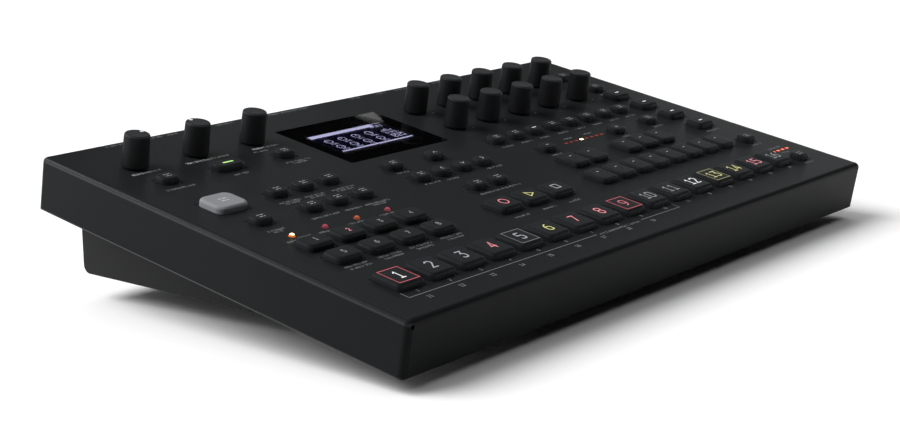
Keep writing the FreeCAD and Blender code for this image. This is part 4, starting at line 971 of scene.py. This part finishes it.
@dataclass(frozen=True)
class KeyBed:
    """Every key and button of the deck, by the body it moves with."""

    step_row: float = 29.4
    track_row: float = 75.2
    page_row: float = 59.2
    small_stroke: float = 0.55
    step_lights: tuple[Finish, ...] = (
        WHITE_LIGHT, DIM_LIGHT, DIM_LIGHT, PINK_LIGHT, DIM_LIGHT, YELLOW_LIGHT, PINK_LIGHT, PINK_LIGHT,
        RED_LIGHT, KEY_PRINT, KEY_PRINT, WHITE_LIGHT, YELLOW_LIGHT, YELLOW_LIGHT, PINK_LIGHT, KEY_PRINT,
    )
    borders: tuple[tuple[int, Finish], ...] = (
        (1, PINK_LINE), (5, GREY_LINE), (9, PINK_LINE), (13, YELLOW_LINE),
    )
    lit_track: int = 2

    def step_keys(self) -> Keys:
        """The sixteen numbered keys.

        Returns:
            Each key by its body.
        """
        keys = {}
        for number, light in enumerate(self.step_lights, 1):
            mark = Mark(str(number), 5.9, 0.72, light, dict(self.borders).get(number))
            keys[f"step_key_{number:02d}"] = [Key(Cap.STEP, (column(number - 1), self.step_row), mark)]
        return keys

    def transport_keys(self) -> Keys:
        """Record, play and stop, and the grey key.

        Returns:
            Each key by its body.
        """
        signs = (
            ("record", Sign.RING, PINK_LIGHT), ("play", Sign.TRIANGLE, YELLOW_LIGHT),
            ("stop", Sign.SQUARE, DIM_LIGHT),
        )
        places = row(140.2, 61.8, 3, column(1) - column(0))
        keys = {
            f"{name}_key": [Key(Cap.TRANSPORT, place, Mark(sign, 2.5, 0.62, light))]
            for place, (name, sign, light) in zip(places, signs)
        }
        keys["function_key"] = [Key(Cap.FUNCTION, (26.9, 129.4), Mark(Sign.LINES, 2.5, 0.8, KEY_WHITE))]
        return keys

    def numbered(self, first: int, v: float) -> list[Key]:
        """Four keys in a row with small numbers on them.

        Args:
            first: The first number.
            v: How far behind the deck's front edge they stand.

        Returns:
            The keys.
        """
        keys = []
        for index, number in enumerate(range(first, first + 4)):
            light = PINK_LIGHT if number == self.lit_track else KEY_PRINT
            keys.append(Key(Cap.PAGE, (column(index), v), Mark(str(number), 2.6, 0.42, light)))
        return keys

    def page_sized_keys(self) -> Keys:
        """The track and page keys at the left, and the sound keys at the right.

        Returns:
            The keys of each body.
        """
        sounds = [
            Key(Cap.PAGE, place, Mark(Sign.DASH, 1.7, 0.85, WHITE_LIGHT))
            for place in row(column(16), 87.6, 4, 19.0, along=True)
        ]
        tracks, pages = self.numbered(1, self.track_row), self.numbered(5, self.page_row)
        return {"track_keys": tracks, "page_keys": pages, "sound_keys": sounds}

    def note_keys(self) -> Keys:
        """Eight keys in front and five behind, spaced as notes are.

        Returns:
            The keys of their one body.
        """
        left, pitch = 221.4, 16.27
        near = row(left, 62.4, 8, pitch)
        far = [(left + step * pitch, 84.9) for step in (0.5, 1.5, 3.5, 4.5, 5.5)]
        mark = Mark(Sign.DASH, 0.9, 0.5, DIM_LIGHT, shift=2.2)
        return {"note_keys": [Key(Cap.NOTE, place, mark) for place in near + far]}

    def small(
        self, places: Iterable[Place], sign: Sign = Sign.LINES, size: float = 2.0, finish: Finish = KEY_PRINT,
    ) -> list[Key]:
        """Small buttons with the same sign, by its half width and finish."""
        return [Key(Cap.SMALL, place, Mark(sign, size, self.small_stroke, finish)) for place in places]

    def buttons(self) -> Keys:
        """The small buttons in their four groups.

        Returns:
            The buttons of each body.
        """
        small = self.small
        left = small(row(58.8, 107.0, 3, 17.05) + row(58.8, 128.2, 3, 17.05))
        left += small([(27.2, 107.0), (27.2, 165.5), (102.0, 165.5)])
        left.append(Key(Cap.WIDE, (64.6, 165.5), Mark(Sign.DASH, 3.2, 1.1, GREEN_LIGHT)))
        parameters = row(219.6, 127.0, 8, 16.4)
        upper = small(parameters[:2] + parameters[3:]) + small(parameters[2:3], Sign.DASH, 1.8, WHITE_LIGHT)
        upper += small([(233.8, 104.8)], Sign.DASH, 1.2) + small([(298.3, 104.8)], Sign.PLUS, 1.4)
        middle = row(136.5, 108.5, 4, 15.7)
        menu = small(row(152.2, 86.6, 2, 15.7) + middle[:1] + [(136.5, 126.2)])
        for place, sign in zip(middle[1:] + [(167.9, 126.2)], (Sign.LEFT, Sign.DOWN, Sign.RIGHT, Sign.UP)):
            menu += small([place], sign, 1.6)
        right = small([(column(16), v) for v in (24.3, 57.7, 159.8, 183.6)] + [(332.6, 106.6)])
        names = ("left_buttons", "parameter_buttons", "menu_buttons", "right_buttons")
        return dict(zip(names, (left, upper, menu, right)))

    def build(self) -> None:
        """Makes the caps of every body and, apart from them, what is printed or lit on them."""
        groups = self.step_keys() | self.transport_keys() | self.page_sized_keys() | self.note_keys()
        for body, keys in (groups | self.buttons()).items():
            caps, marks = Shell(DECK), Shell(DECK)
            for key in keys:
                shape = key.cap.value
                caps.at(*key.place)
                caps.use(GREY_PLASTIC if key.cap is Cap.FUNCTION else KEY_PLASTIC)
                caps.loft(shape.crown())
                caps.use(KEY_PLASTIC)
                caps.loft(shape.skirt())
                key.mark.draw(marks, key.place, shape.height + 0.03)
            caps.piece(f"{body}_caps", body, body)
            marks.piece(f"{body}_marks", body, solid=False)


# The dials, lamps and screen.


@dataclass(frozen=True)
class Dials:
    """Dials with their shafts. Two have a dot, at an angle from the rear, clockwise in degrees."""

    foot_radius: float = 6.3
    top_radius: float = 5.9
    height: float = 16.3
    row: float = 187.0
    pointers: tuple[tuple[str, float], ...] = (("volume_dial", 71.0), ("performance_dial", -16.0))
    dot_reach: float = 3.95
    dot_radius: float = 0.95

    def places(self) -> dict[str, Place]:
        """Where the dials stand on the deck.

        Returns:
            Each place by the dial's body.
        """
        names = ["volume_dial", "performance_dial", "level_dial"]
        places = dict(zip(names, row(27.2, self.row, 3, 37.4)))
        data = row(219.8, 182.15, 5, 27.85) + row(219.8, 154.3, 5, 27.85)
        places.update((f"data_dial_{letter}", place) for letter, place in zip("abcdefghij", data))
        return places

    def side(self) -> list[Place]:
        """The turned form from the end of the shaft to the soft edge of the top.

        Returns:
            Radius and height of its points.
        """
        foot, top, height = self.foot_radius, self.top_radius, self.height
        return [
            (0.0, -7.4), (2.88, -7.4), (2.88, 0.95), (5.6, 0.95), (6.1, 0.82), (foot - 0.06, 0.86),
            (foot, 1.05), (foot - 0.02, 1.5), (top + 0.05, height - 1.3),
        ]

    def top(self) -> list[Place]:
        """The soft edge and the slightly hollow top.

        Returns:
            Radius and height of their points.
        """
        drops = (
            (0.0, 0.9), (0.1, 0.55), (0.35, 0.22), (0.7, 0.04),
            (0.95, 0.0), (1.2, 0.02), (1.45, 0.1), (1.9, 0.14),
        )
        rim = [(self.top_radius - inset, self.height - drop) for inset, drop in drops]
        return rim + [(0.0, self.height - 0.16)]

    def dot(self, shell: Shell, place: Place, angle: float) -> None:
        """A nearly flat dot on a dial's top.

        Args:
            shell: The dial.
            place: The dial's middle.
            angle: The dot's angle from the rear, clockwise in degrees.
        """
        turn = math.radians(90 - angle)
        radius, height = self.dot_radius, self.height
        shell.use(POINTER_PRINT)
        shell.at(place[0] + self.dot_reach * math.cos(turn), place[1] + self.dot_reach * math.sin(turn))
        shell.lathe([
            (0.0, height - 0.4), (radius, height - 0.4), (radius, height + 0.02),
            (radius - 0.1, height + 0.06), (0.0, height + 0.07),
        ], 24)

    def build(self) -> None:
        """Makes each dial on its own body."""
        side = self.side()
        for name, place in self.places().items():
            shell = Shell(DECK)
            shell.use(DIAL_RUBBER)
            shell.at(*place)
            # The top and its soft edge take the lighter copy of the rubber: painted light.
            shell.lathe(side + self.top(), 72, {len(side): DIAL_TOP_PAINTED_LIGHT})
            if name in dict(self.pointers):
                self.dot(shell, place, dict(self.pointers)[name])
            shell.piece(f"{name}_knob", name, name)


@dataclass(frozen=True)
class Lamps:
    """Round lamps over the track keys, each a lit top in a dim rim, and small flat ones, in millimetres."""

    radius: float = 1.6
    dome: float = 1.3
    proud: float = 1.25
    stem: float = -8.6
    dome_row: float = 88.4
    flat_size: Place = (2.8, 1.6)
    domes: tuple[tuple[Finish, Finish], ...] = (
        (LAMP_HOT, LAMP_AMBER), (LAMP_RED, LAMP_WINE), (LAMP_ORANGE, LAMP_RUST), (LAMP_RED, LAMP_WINE),
    )
    flat: tuple[Finish, ...] = (LAMP_EMBER,) * 3 + (LAMP_HOT,) + (LAMP_EMBER,) * 4 + (LAMP_CORAL,) * 4

    def arc(self, *turns: float) -> list[Place]:
        """Points of the dome, by their angles from its foot."""
        foot = 0.15
        return [(self.dome * math.cos(turn), foot + (self.proud - foot) * math.sin(turn)) for turn in turns]

    def build(self) -> None:
        """Makes every lamp in one piece."""
        shell = Shell(DECK)
        body = [(0.0, self.stem), (self.radius, self.stem), (self.radius, 0.05), (self.radius - 0.15, 0.15)]
        for index, (top, rim) in enumerate(self.domes):
            shell.at(column(index), self.dome_row)
            shell.use(rim)
            shell.lathe(body + self.arc(0.0, 0.3, 0.6), 28)
            shell.use(top)
            shell.lathe(self.arc(0.6, 0.85, 1.1, 1.35) + [(0.0, self.proud)], 28)
        for place, light in zip(row(254.3, 106.6, 8, 4.7) + row(354.3, 37.6, 4, 4.9), self.flat):
            shell.at(*place)
            shell.use(light)
            shell.slab(*self.flat_size, self.stem, 0.0)
        shell.piece("lamps", "case", "indicator_lamps", solid=False)


@dataclass(frozen=True)
class ScreenUnit:
    """The pane over the screen, and the picture on the display's glass under it, in millimetres."""

    middle: Place = (161.4, 167.2)
    width: float = 74.2
    depth: float = 52.0
    picture_shift: float = 1.3
    glass: float = -1.8
    lit_width: float = 54.0
    lit_depth: float = 24.4
    line: float = 0.45

    def pane(self) -> None:
        """A flush pane, its edge barely broken."""
        shell = Shell(DECK)
        shell.use(PANE)
        shell.at(*self.middle)
        steps = ((0.0, 0.5, -1.5), (0.0, 0.5, -0.03), (0.06, 0.5, 0.0), (0.8, 0.4, 0.0))
        shell.loft([
            rounded(self.width - inset, self.depth - inset, corner, height) for inset, corner, height in steps
        ])
        shell.piece("screen_pane", "case", "screen_window")

    def small_dial(self, pen: Pen, x: float, y: float, lift: float) -> None:
        """A drawn dial with its hand and a line of print for its value.

        Args:
            pen: Draws on the picture.
            x: Its middle across, from the picture's middle.
            y: Its middle along the deck, from the picture's middle.
            lift: The drawing's z.
        """
        u, v = self.middle[0] + x, self.middle[1] + self.picture_shift + y
        pen.shell.at(u, v)
        pen.shell.ribbon(circle(2.2, 20), self.line, lift)
        turn = math.radians(40 + 31 * x + 17 * y)
        across, along = math.cos(turn), math.sin(turn)
        pen.shell.ribbon([(0.3 * across, 0.3 * along), (2.0 * across, 2.0 * along)], self.line, lift)
        pen.words((u + 0.4, v - 3.7), 4.0, int(x * 7 + y), lift, self.line)

    def side_panel(self, pen: Pen, lift: float) -> None:
        """What stands at the picture's right: level bars, two lines of print and a framed curve.

        Args:
            pen: Draws on the picture.
            lift: The drawing's z.
        """
        shell, right = pen.shell, self.middle[0] + self.lit_width / 2
        near = self.middle[1] + self.picture_shift - self.lit_depth / 2
        for index in range(6):
            shell.at(right - 10.0 + index * 1.5, near + 14.0)
            shell.ribbon([(0, -1.4), (0, -0.4 + 0.8 * ((index * 5) % 4))], 0.6, lift)
        pen.words((right - 6.0, near + 20.4), 9.0, 5, lift, 0.6)
        pen.words((right - 5.6, near + 10.2), 8.4, 8, lift, 0.6)
        shell.at(right - 5.6, near + 5.6)
        shell.ribbon(box(4.2, 1.8), 0.5, lift)
        shell.ribbon([(-3.4, -1.0), (-1.6, 1.1), (0.2, -0.5), (3.4, 1.1)], 0.5, lift)

    def picture(self) -> None:
        """A page of eight small dials with their values, under a heading bar and over a foot line."""
        shell = Shell(DECK)
        pen = Pen(shell)
        lift = self.glass + 0.03
        right, far = self.lit_width / 2, self.lit_depth / 2
        shell.at(self.middle[0], self.middle[1] + self.picture_shift)
        shell.use(PICTURE_FIELD)
        shell.face(shell.ring(rounded(self.lit_width, self.lit_depth, 0.2, lift - 0.015)))
        shell.use(PICTURE)
        shell.ribbon([(-right, far - 1.7), (20.0, far - 1.7)], 3.3, lift)
        shell.ribbon([(-right + 0.6, 0.7 - far), (right, 0.7 - far)], 1.3, lift)
        shell.ribbon([(20.6, far - 0.5), (right, far - 0.5)], 0.4, lift)
        for y in (14.6 - far, 6.4 - far):
            for x, _ in row(5.6 - right, 0.0, 4, 10.0):
                self.small_dial(pen, x, y, lift)
        self.side_panel(pen, lift)
        shell.piece("display_picture", "case", solid=False)

    def build(self) -> None:
        """Makes both."""
        self.pane()
        self.picture()


# Print on the panel.


@dataclass(frozen=True)
class PanelPrint:
    """Small print on the deck: marks in place of words, plain numbers, the line under the numbered keys."""

    lift: float = 0.025
    dots: tuple[Place, ...] = ((228.6, 149.0), (228.6, 176.8))

    def lines(self) -> list[tuple[float, float, float]]:
        """Every line of small print, in the order that gives each its own rhythm.

        Returns:
            Its middle, across and along the deck, and its length.
        """
        edge = column(16)
        lines = [(27.2, 156.4, 17.0), (103.2, 156.8, 16.0), (103.0, 154.8, 9.0), (65.4, 156.6, 9.0)]
        lines += [(96.4, 175.4, 8.5)]
        for u, length in ((58.2, 13.0), (74.0, 12.6), (92.8, 15.0)):
            lines += [(u, 118.9, length), (u, 117.0, length * 0.7)]
        lines += [(58.5, 97.6, 18.0), (76.5, 97.6, 10.5), (92.5, 97.6, 15.6)]
        lines += [(92.5, 95.8, 9.0), (26.7, 97.0, 9.8), (26.7, 95.2, 6.0), (22.6, 83.9, 5.0)]
        lines += [(31.8, 85.2, 8.0), (43.9, 84.4, 9.0), (64.8, 84.9, 10.5), (85.4, 84.9, 9.8)]
        for index in range(4):
            lines += [(column(index) + 0.2, 51.4, 14.5), (column(index) + 0.2, 48.9, 13.0 - index)]
        lines += [(138.0, 101.9, 11.2), (152.6, 100.9, 9.6), (185.8, 101.6, 11.4), (161.3, 79.0, 30.5)]
        lines += [(140.2, 50.1, 10.2), (161.4, 50.1, 9.4), (181.6, 49.6, 9.0), (136.5, 119.2, 8.0)]
        lines += [(u, v, 8.6) for u, v in row(219.6, 118.9, 8, 16.4)]
        lines += [(233.8, 97.4, 8.0), (298.3, 97.4, 8.0), (262.0, 111.0, 7.0), (280.0, 111.0, 7.0)]
        lines += [(332.6, 99.2, 8.6), (edge, 78.6, 12.0), (edge, 50.4, 9.6), (edge, 17.4, 8.0)]
        lines += [(edge, 152.4, 8.4), (361.0, 41.4, 12.0), (361.0, 33.9, 9.0), (169.6, 15.4, 33.0)]
        rear = ((41.0, 14.0), (64.0, 9.0), (76.0, 7.0), (110.6, 11.2), (157.0, 30.0), (209.0, 8.0))
        lines += [(u, 214.8, length) for u, length in rear + ((230.0, 9.0), (246.0, 9.0), (278.0, 9.0))]
        return lines

    def build(self) -> None:
        """Makes the print as one piece."""
        shell = Shell(DECK)
        pen = Pen(shell)
        shell.use(PRINT)
        for seed, (u, v, length) in enumerate(self.lines()):
            pen.words((u, v), length, seed, self.lift)
        shell.use(BRIGHT_PRINT)
        for seed, (u, length) in enumerate(((27.3, 17.0), (64.8, 26.5), (103.0, 16.6)), 60):
            pen.words((u, 179.0), length, seed, self.lift, 0.52)
        shell.use(PRINT)
        for index in range(16):
            shell.at(column(index) + 0.4, 19.0)
            pen.number(str(index + 1), 1.7, 0.3, self.lift)
            if index < 9:
                shell.at(column(index) + 0.4, 12.4)
                pen.number(str(index + 11), 2.0, 0.34, self.lift)
        for start in self.dots:
            for place in row(*start, 5, 27.85):
                shell.at(*place)
                shell.disc(0.55, self.lift)
        shell.at(0.0, 0.0)
        shell.use(FAINT_PRINT)
        shell.ribbon([(18.9, 20.8), (18.9, 16.0), (151.0, 16.0)], 0.45, self.lift)
        shell.ribbon([(188.0, 16.0), (222.0, 16.0), (222.0, 20.8)], 0.45, self.lift)
        shell.piece("panel_print", "case", solid=False)


# The rear and the underside.


@dataclass(frozen=True)
class RearConnectors:
    """Jacks, round sockets, power inlet and their print, along the rear wall, in millimetres."""

    jacks_from: Place = (40.0, 30.0)
    jack_pitch: float = 16.8
    mouth: float = 218.9
    wall: float = 214.3
    panel: float = 213.1
    rim: float = 1.0
    round_up: float = 31.8
    inlet_at: Place = (336.2, 28.1)

    def jack_columns(self) -> list[float]:
        """The places across of the thirteen jacks."""
        return [x for x, _ in row(self.jacks_from[0], 0.0, 13, self.jack_pitch)]

    def jacks(self) -> None:
        """Thirteen jacks: a body, a threaded sleeve with an open bore, a washer and a six-sided nut."""
        shell = Shell(BASE)
        threads = [(4.68 if i % 2 else 4.4, -0.5 - 0.35 * i) for i in range(18)][::-1]
        bore = [(4.3, 0.0), (3.6, 0.0), (3.28, -0.4), (3.28, -24.5), (0.0, -24.5)]
        for x in self.jack_columns():
            shell.use(JACK_PLASTIC)
            shell.at(x, 200.6, self.jacks_from[1])
            shell.loft([rounded(16.2, 22.0, 0.8, low, 3) for low in (-6.5, 6.5)])
            shell.at(x, self.mouth, self.jacks_from[1], 90.0)
            shell.use(NICKEL)
            shell.lathe([(0.0, -25.9), (3.9, -25.9), (3.9, -7.2)] + threads + bore, 40)
            shell.use(BLACK_STEEL)
            shell.lathe([(4.75, -5.7), (6.0, -5.7), (6.0, -5.25), (4.75, -5.25), (4.75, -5.7)], 40)
            self.nut(shell, 6.2, -5.25, -2.9)
        shell.piece("jacks", "case", "audio_jacks")

    def nut(self, shell: Shell, radius: float, low: float, high: float) -> None:
        """A six-sided nut with sloped corners round a sleeve.

        Args:
            shell: What it is drawn on.
            radius: To its corners.
            low: Its lower z.
            high: Its upper z.
        """
        inner = 4.72
        steps = [(inner, low), (radius, low), (radius, high - 0.4)]
        steps += [(radius - 0.5, high), (inner, high), (inner, low)]
        shell.loft([hexagon(reach, height) for reach, height in steps], capped=False)

    def round_sockets(self) -> None:
        """Three round sockets with a ring for the plug's shell and five contacts, each a gold ring round a
        near-black disc that is painted shade for its hole.
        """
        shell = Shell(BASE)
        front, up = self.panel + self.rim, self.round_up
        for x, _ in row(262.5, 0.0, 3, 21.5):
            shell.use(SOCKET_PLASTIC)
            shell.at(x, 205.4, up)
            shell.loft([rounded(21.0, 12.4, 0.8, low, 3) for low in (-8.3, 8.3)])
            shell.at(x, front, up, 90.0)
            shell.use(BRIGHT_STEEL)
            shell.lathe([(7.45, -6.0), (8.0, -6.0), (8.0, -0.15), (7.85, 0.0), (7.45, 0.0), (7.45, -6.0)])
            shell.use(SOCKET_PLASTIC)
            shell.lathe([
                (0.0, -6.5), (7.45, -6.5), (7.45, -6.0), (6.5, -6.0), (6.5, -0.3), (6.3, -0.1), (0.0, -0.1),
            ])
            for index in range(5):
                turn = math.radians(45 * index)
                shell.at(x + 4.45 * math.cos(turn), front, up + 4.45 * math.sin(turn), 90.0)
                shell.use(GOLD)
                shell.lathe([(0.62, 0.0), (0.86, 0.0), (0.86, -0.12), (0.62, -0.12), (0.62, 0.0)], 16)
                # A near-black disc inside the contact: painted shade for its hole.
                shell.use(FRAME_BLACK_PAINTED_SHADE)
                shell.lathe([(0.0, -0.05), (0.62, -0.05), (0.62, -0.08), (0.0, -0.08)], 16)
        shell.piece("round_sockets", "case", "midi_sockets")

    def inlet(self) -> None:
        """A barrel inlet with its pin."""
        shell = Shell(BASE)
        x, z = self.inlet_at
        shell.use(SOCKET_PLASTIC)
        shell.at(x, 206.0, z)
        shell.loft([rounded(9.2, 11.0, 0.6, low, 3) for low in (-4.6, 4.6)])
        shell.at(x, self.panel + self.rim, z, 90.0)
        square = [rounded(9.2, 9.2, 0.8, height, 5) for height in (-3.0, -0.2)]
        square.append(rounded(8.8, 8.8, 0.6, 0.0, 5))
        hole = [[(*point, height) for point in circle(3.0, 24)[:-1]] for height in (0.0, -8.0)]
        shell.loft(square + hole)
        shell.use(BRIGHT_STEEL)
        shell.lathe([(0.0, -8.0), (1.0, -8.0), (1.0, -1.6), (0.7, -1.2), (0.0, -1.2)], 20)
        shell.piece("inlet", "case", "power_inlet")

    def legends(self) -> None:
        """Marks over the jacks and sockets, on the rear wall, as they are read from behind."""
        shell = Shell(BASE)
        pen = Pen(shell)
        shell.use(PRINT)
        upright = Matrix.Rotation(math.radians(90), 4, "X") @ Matrix.Scale(-1, 4, (1, 0, 0))
        shell.working_frame = BASE @ Matrix.Translation((0.0, self.wall + 0.03, 0.0)) @ upright
        for seed, x in enumerate(self.jack_columns(), 90):
            pen.words((-x, 39.6), 9.0, seed, 0.0, 0.5)
        for seed, x in enumerate((262.5, 284.0, 305.5, 323.0, 336.2, 349.6), 130):
            pen.words((-x, 43.6), 7.0, seed, 0.0, 0.5)
        shell.piece("rear_print", "case", solid=False)

    def build(self) -> None:
        """Makes everything on the rear."""
        self.jacks()
        self.round_sockets()
        self.inlet()
        self.legends()


@dataclass(frozen=True)
class Underside:
    """Feet and screws, in millimetres."""

    foot_radius: float = 10.0
    foot_height: float = 12.5
    feet_at: tuple[Place, ...] = ((73.0, 60.0), (73.0, 190.0), (312.0, 60.0), (312.0, 190.0))

    def feet(self) -> None:
        """Four turned feet with a recess for the screw."""
        shell = Shell(BASE)
        shell.use(FOOT_RUBBER)
        r, h = self.foot_radius, self.foot_height
        for place in self.feet_at:
            shell.at(*place)
            shell.lathe([
                (1.7, h), (r - 1.0, h), (r - 0.5, h - 0.2), (r - 0.35, h - 0.8), (r, h - 1.2),
                (r, 1.4), (r - 0.15, 0.7), (r - 0.6, 0.2), (r - 1.2, 0.0),
                (r - 3.0, 0.0), (r - 3.3, 0.5), (r - 3.9, 0.5), (r - 4.2, 0.0),
                (4.2, 0.0), (3.8, 0.3), (3.8, 8.0), (1.7, 8.0), (1.7, h),
            ], 56)
        shell.piece("feet", "case", "rubber_feet")

    def screws(self) -> None:
        """Round-headed screws with a six-sided socket: four in the feet, four in the deck's plate."""
        shell = Shell(BASE)
        shell.use(BLACK_STEEL)
        head = -1.6
        deck = BASE.inverted() @ DECK
        places = [Matrix.Translation((x, y, 8.0)) for x, y in self.feet_at]
        places += [deck @ Matrix.Translation((u, v, -25.0)) for u in (6.5, 378.5) for v in (24.0, 195.0)]
        for place in places:
            shell.pose = place
            shell.lathe([
                (0.0, 5.4), (1.45, 5.4), (1.45, 0.0), (2.8, 0.0),
                (2.8, -0.5), (2.5, -1.15), (1.9, -1.5), (1.25, head),
            ], 32)
            mouth = hexagon(1.1, -1.55)
            shell.loft([mouth, hexagon(1.1, -0.5), hexagon(0.05, -0.5)])
            shell.loft([hexagon(1.25, head), mouth], capped=False)
        shell.piece("screws", "case", "case_screws")

    def build(self) -> None:
        """Makes both."""
        self.feet()
        self.screws()


@dataclass(frozen=True)
class Housing:
    """The construction nodes that keep their own shape, with their finishes."""

    finishes: tuple[tuple[str, Finish], ...] = (
        ("top_panel", PANEL_COAT), ("bottom_chassis", BASE_COAT), ("rear_panel", CONNECTOR_COAT),
        ("display_module", FRAME_BLACK_PAINTED_SHADE), ("control_board", BOARD), ("main_board", BOARD),
        ("key_switches", SWITCH_PLASTIC), ("encoders", ZINC), ("potentiometers", ZINC),
        ("usb_socket", BRIGHT_STEEL), ("power_switch", SOCKET_PLASTIC), ("power_button", BUTTON_PLASTIC),
    )

    def build(self) -> None:
        """Gives each node its finish."""
        for name, finish in self.finishes:
            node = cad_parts[name]
            for slot in node.material_slots:
                slot.material = PAINTS.of(finish)
            log.info("%s: %s", name, finish.name)


# The studio.


@dataclass(frozen=True)
class Softbox:
    """A square lamp, in metres and watts. Its turn in degrees, if it has one, replaces its target."""

    name: str
    place: Point
    target: Point
    side: float
    power: float
    turn: Point | None = None

    def build(self) -> None:
        """Makes the lamp."""
        data = bpy.data.lights.new(self.name, "AREA")
        data.shape, data.size, data.energy = "SQUARE", self.side, self.power
        lamp = hang(data, self.place, self.target)
        if self.turn:
            lamp.rotation_euler = [math.radians(angle) for angle in self.turn]


@dataclass(frozen=True)
class Skylight:
    """Even light from one side of the room, which nothing mirrors, so that the pane stays clear."""

    name: str
    source: Point
    spread: float
    strength: float

    def build(self) -> None:
        """Makes the lamp."""
        data = bpy.data.lights.new(self.name, "SUN")
        data.angle = math.radians(self.spread)
        data.energy = self.strength
        lamp = hang(data, self.source, (0.0, 0.0, 0.0))
        lamp.visible_glossy = lamp.visible_transmission = False


def hang(data: bpy.types.Light, place: Point, target: Point) -> bpy.types.Object:
    """Hangs a lamp and points it.

    Args:
        data: The lamp.
        place: Where it hangs.
        target: What it points at.

    Returns:
        The lamp in the scene.
    """
    lamp = bpy.data.objects.new(data.name, data)
    bpy.context.scene.collection.objects.link(lamp)
    lamp.visible_camera = False
    lamp.location = place
    lamp.rotation_euler = (Vector(target) - Vector(place)).to_track_quat("-Z", "Y").to_euler()
    return lamp


@dataclass(frozen=True)
class Studio:
    """Pale floor and backdrop, soft light and the camera, in metres and degrees."""

    camera_place: Point = (-0.6971, -0.5360, 0.2254)
    camera_turn: Point = (77.1136, 0.3991, -51.4232)
    lens: float = 71.693
    room: float = 9.0
    wall: float = 1.7
    sides: int = 64
    surroundings: Colour = (0.003, 0.003, 0.0032)
    lamps: tuple[Softbox | Skylight, ...] = (
        Skylight("window", (-0.62, 0.40, 0.78), 40.0, 2.8),
        Skylight("ceiling", (0.1, 0.1, 1.0), 90.0, 1.2),
        Softbox("rim", (1.66, 0.54, 0.39), (0.1, 0.0, 0.06), 0.6, 0.5),
        Softbox("left_wash", (-0.75, 0.55, 0.12), (-0.19, 0.0, 0.03), 0.6, 2.4),
        Softbox("bend_line", (-0.55, 0.85, 0.82), (-0.19, 0.0, 0.05), 0.35, 2.4),
        Softbox("rear_sheen", (1.93, 1.25, 1.93), (0.0, 0.0, 0.05), 1.2, 1.8),
        Softbox("reflector", (0.674, 0.848, 0.422), (0.0, 0.0, 0.0), 0.35, 0.2, (5.92, 13.71, 166.32)),
    )

    def room_shell(self) -> None:
        """A wide plain floor, turned up into a low backdrop at its far edge."""
        count = self.sides
        ring = circle(1.0, count)[:-1]
        levels = ((self.room, 0.0), (self.room * 1.02, self.wall * 0.1), (self.room * 1.03, self.wall))
        corners = [(0.0, 0.0, 0.0)] + [(r * x, r * y, z) for r, z in levels for x, y in ring]
        faces = [(0, 1 + i, 1 + (i + 1) % count) for i in range(count)]
        for low in (1, 1 + count):
            high = low + count
            for i in range(count):
                j = (i + 1) % count
                faces.append((low + i, high + i, high + j, low + j))
        data = bpy.data.meshes.new("floor")
        data.from_pydata(corners, [], faces)
        data.materials.append(PAINTS.of(FLOOR))
        data.materials.append(PAINTS.of(WALL))
        for polygon in data.polygons[count:]:
            polygon.material_index = 1
        floor = bpy.data.objects.new("floor", data)
        bpy.context.scene.collection.objects.link(floor)

    def world(self) -> None:
        """The dim room over the backdrop."""
        world = bpy.data.worlds.new("studio")
        bpy.context.scene.world = world
        world.use_nodes = True
        world.node_tree.nodes["Background"].inputs["Color"].default_value = (*self.surroundings, 1.0)

    def camera(self) -> None:
        """The photograph's view."""
        data = bpy.data.cameras.new("camera")
        data.sensor_width = 36.0
        data.lens = self.lens
        data.clip_start, data.clip_end = 0.02, 50.0
        camera = bpy.data.objects.new("camera", data)
        bpy.context.scene.collection.objects.link(camera)
        camera.location = self.camera_place
        camera.rotation_euler = [math.radians(angle) for angle in self.camera_turn]
        bpy.context.scene.camera = camera

    def build(self) -> None:
        """Sets the scene."""
        self.room_shell()
        self.world()
        self.camera()
        for lamp in self.lamps:
            lamp.build()
        bpy.context.scene.view_settings.view_transform = "Standard"


def main() -> None:
    """Builds every sub-assembly in order."""
    logging.basicConfig(level=logging.INFO, format="%(name)s: %(message)s")
    parts = (Housing, KeyBed, Dials, Lamps, ScreenUnit, PanelPrint, RearConnectors, Underside, Studio)
    for part in parts:
        log.info("building %s", part.__name__)
        part().build()


if __name__ == "__main__":
    main()
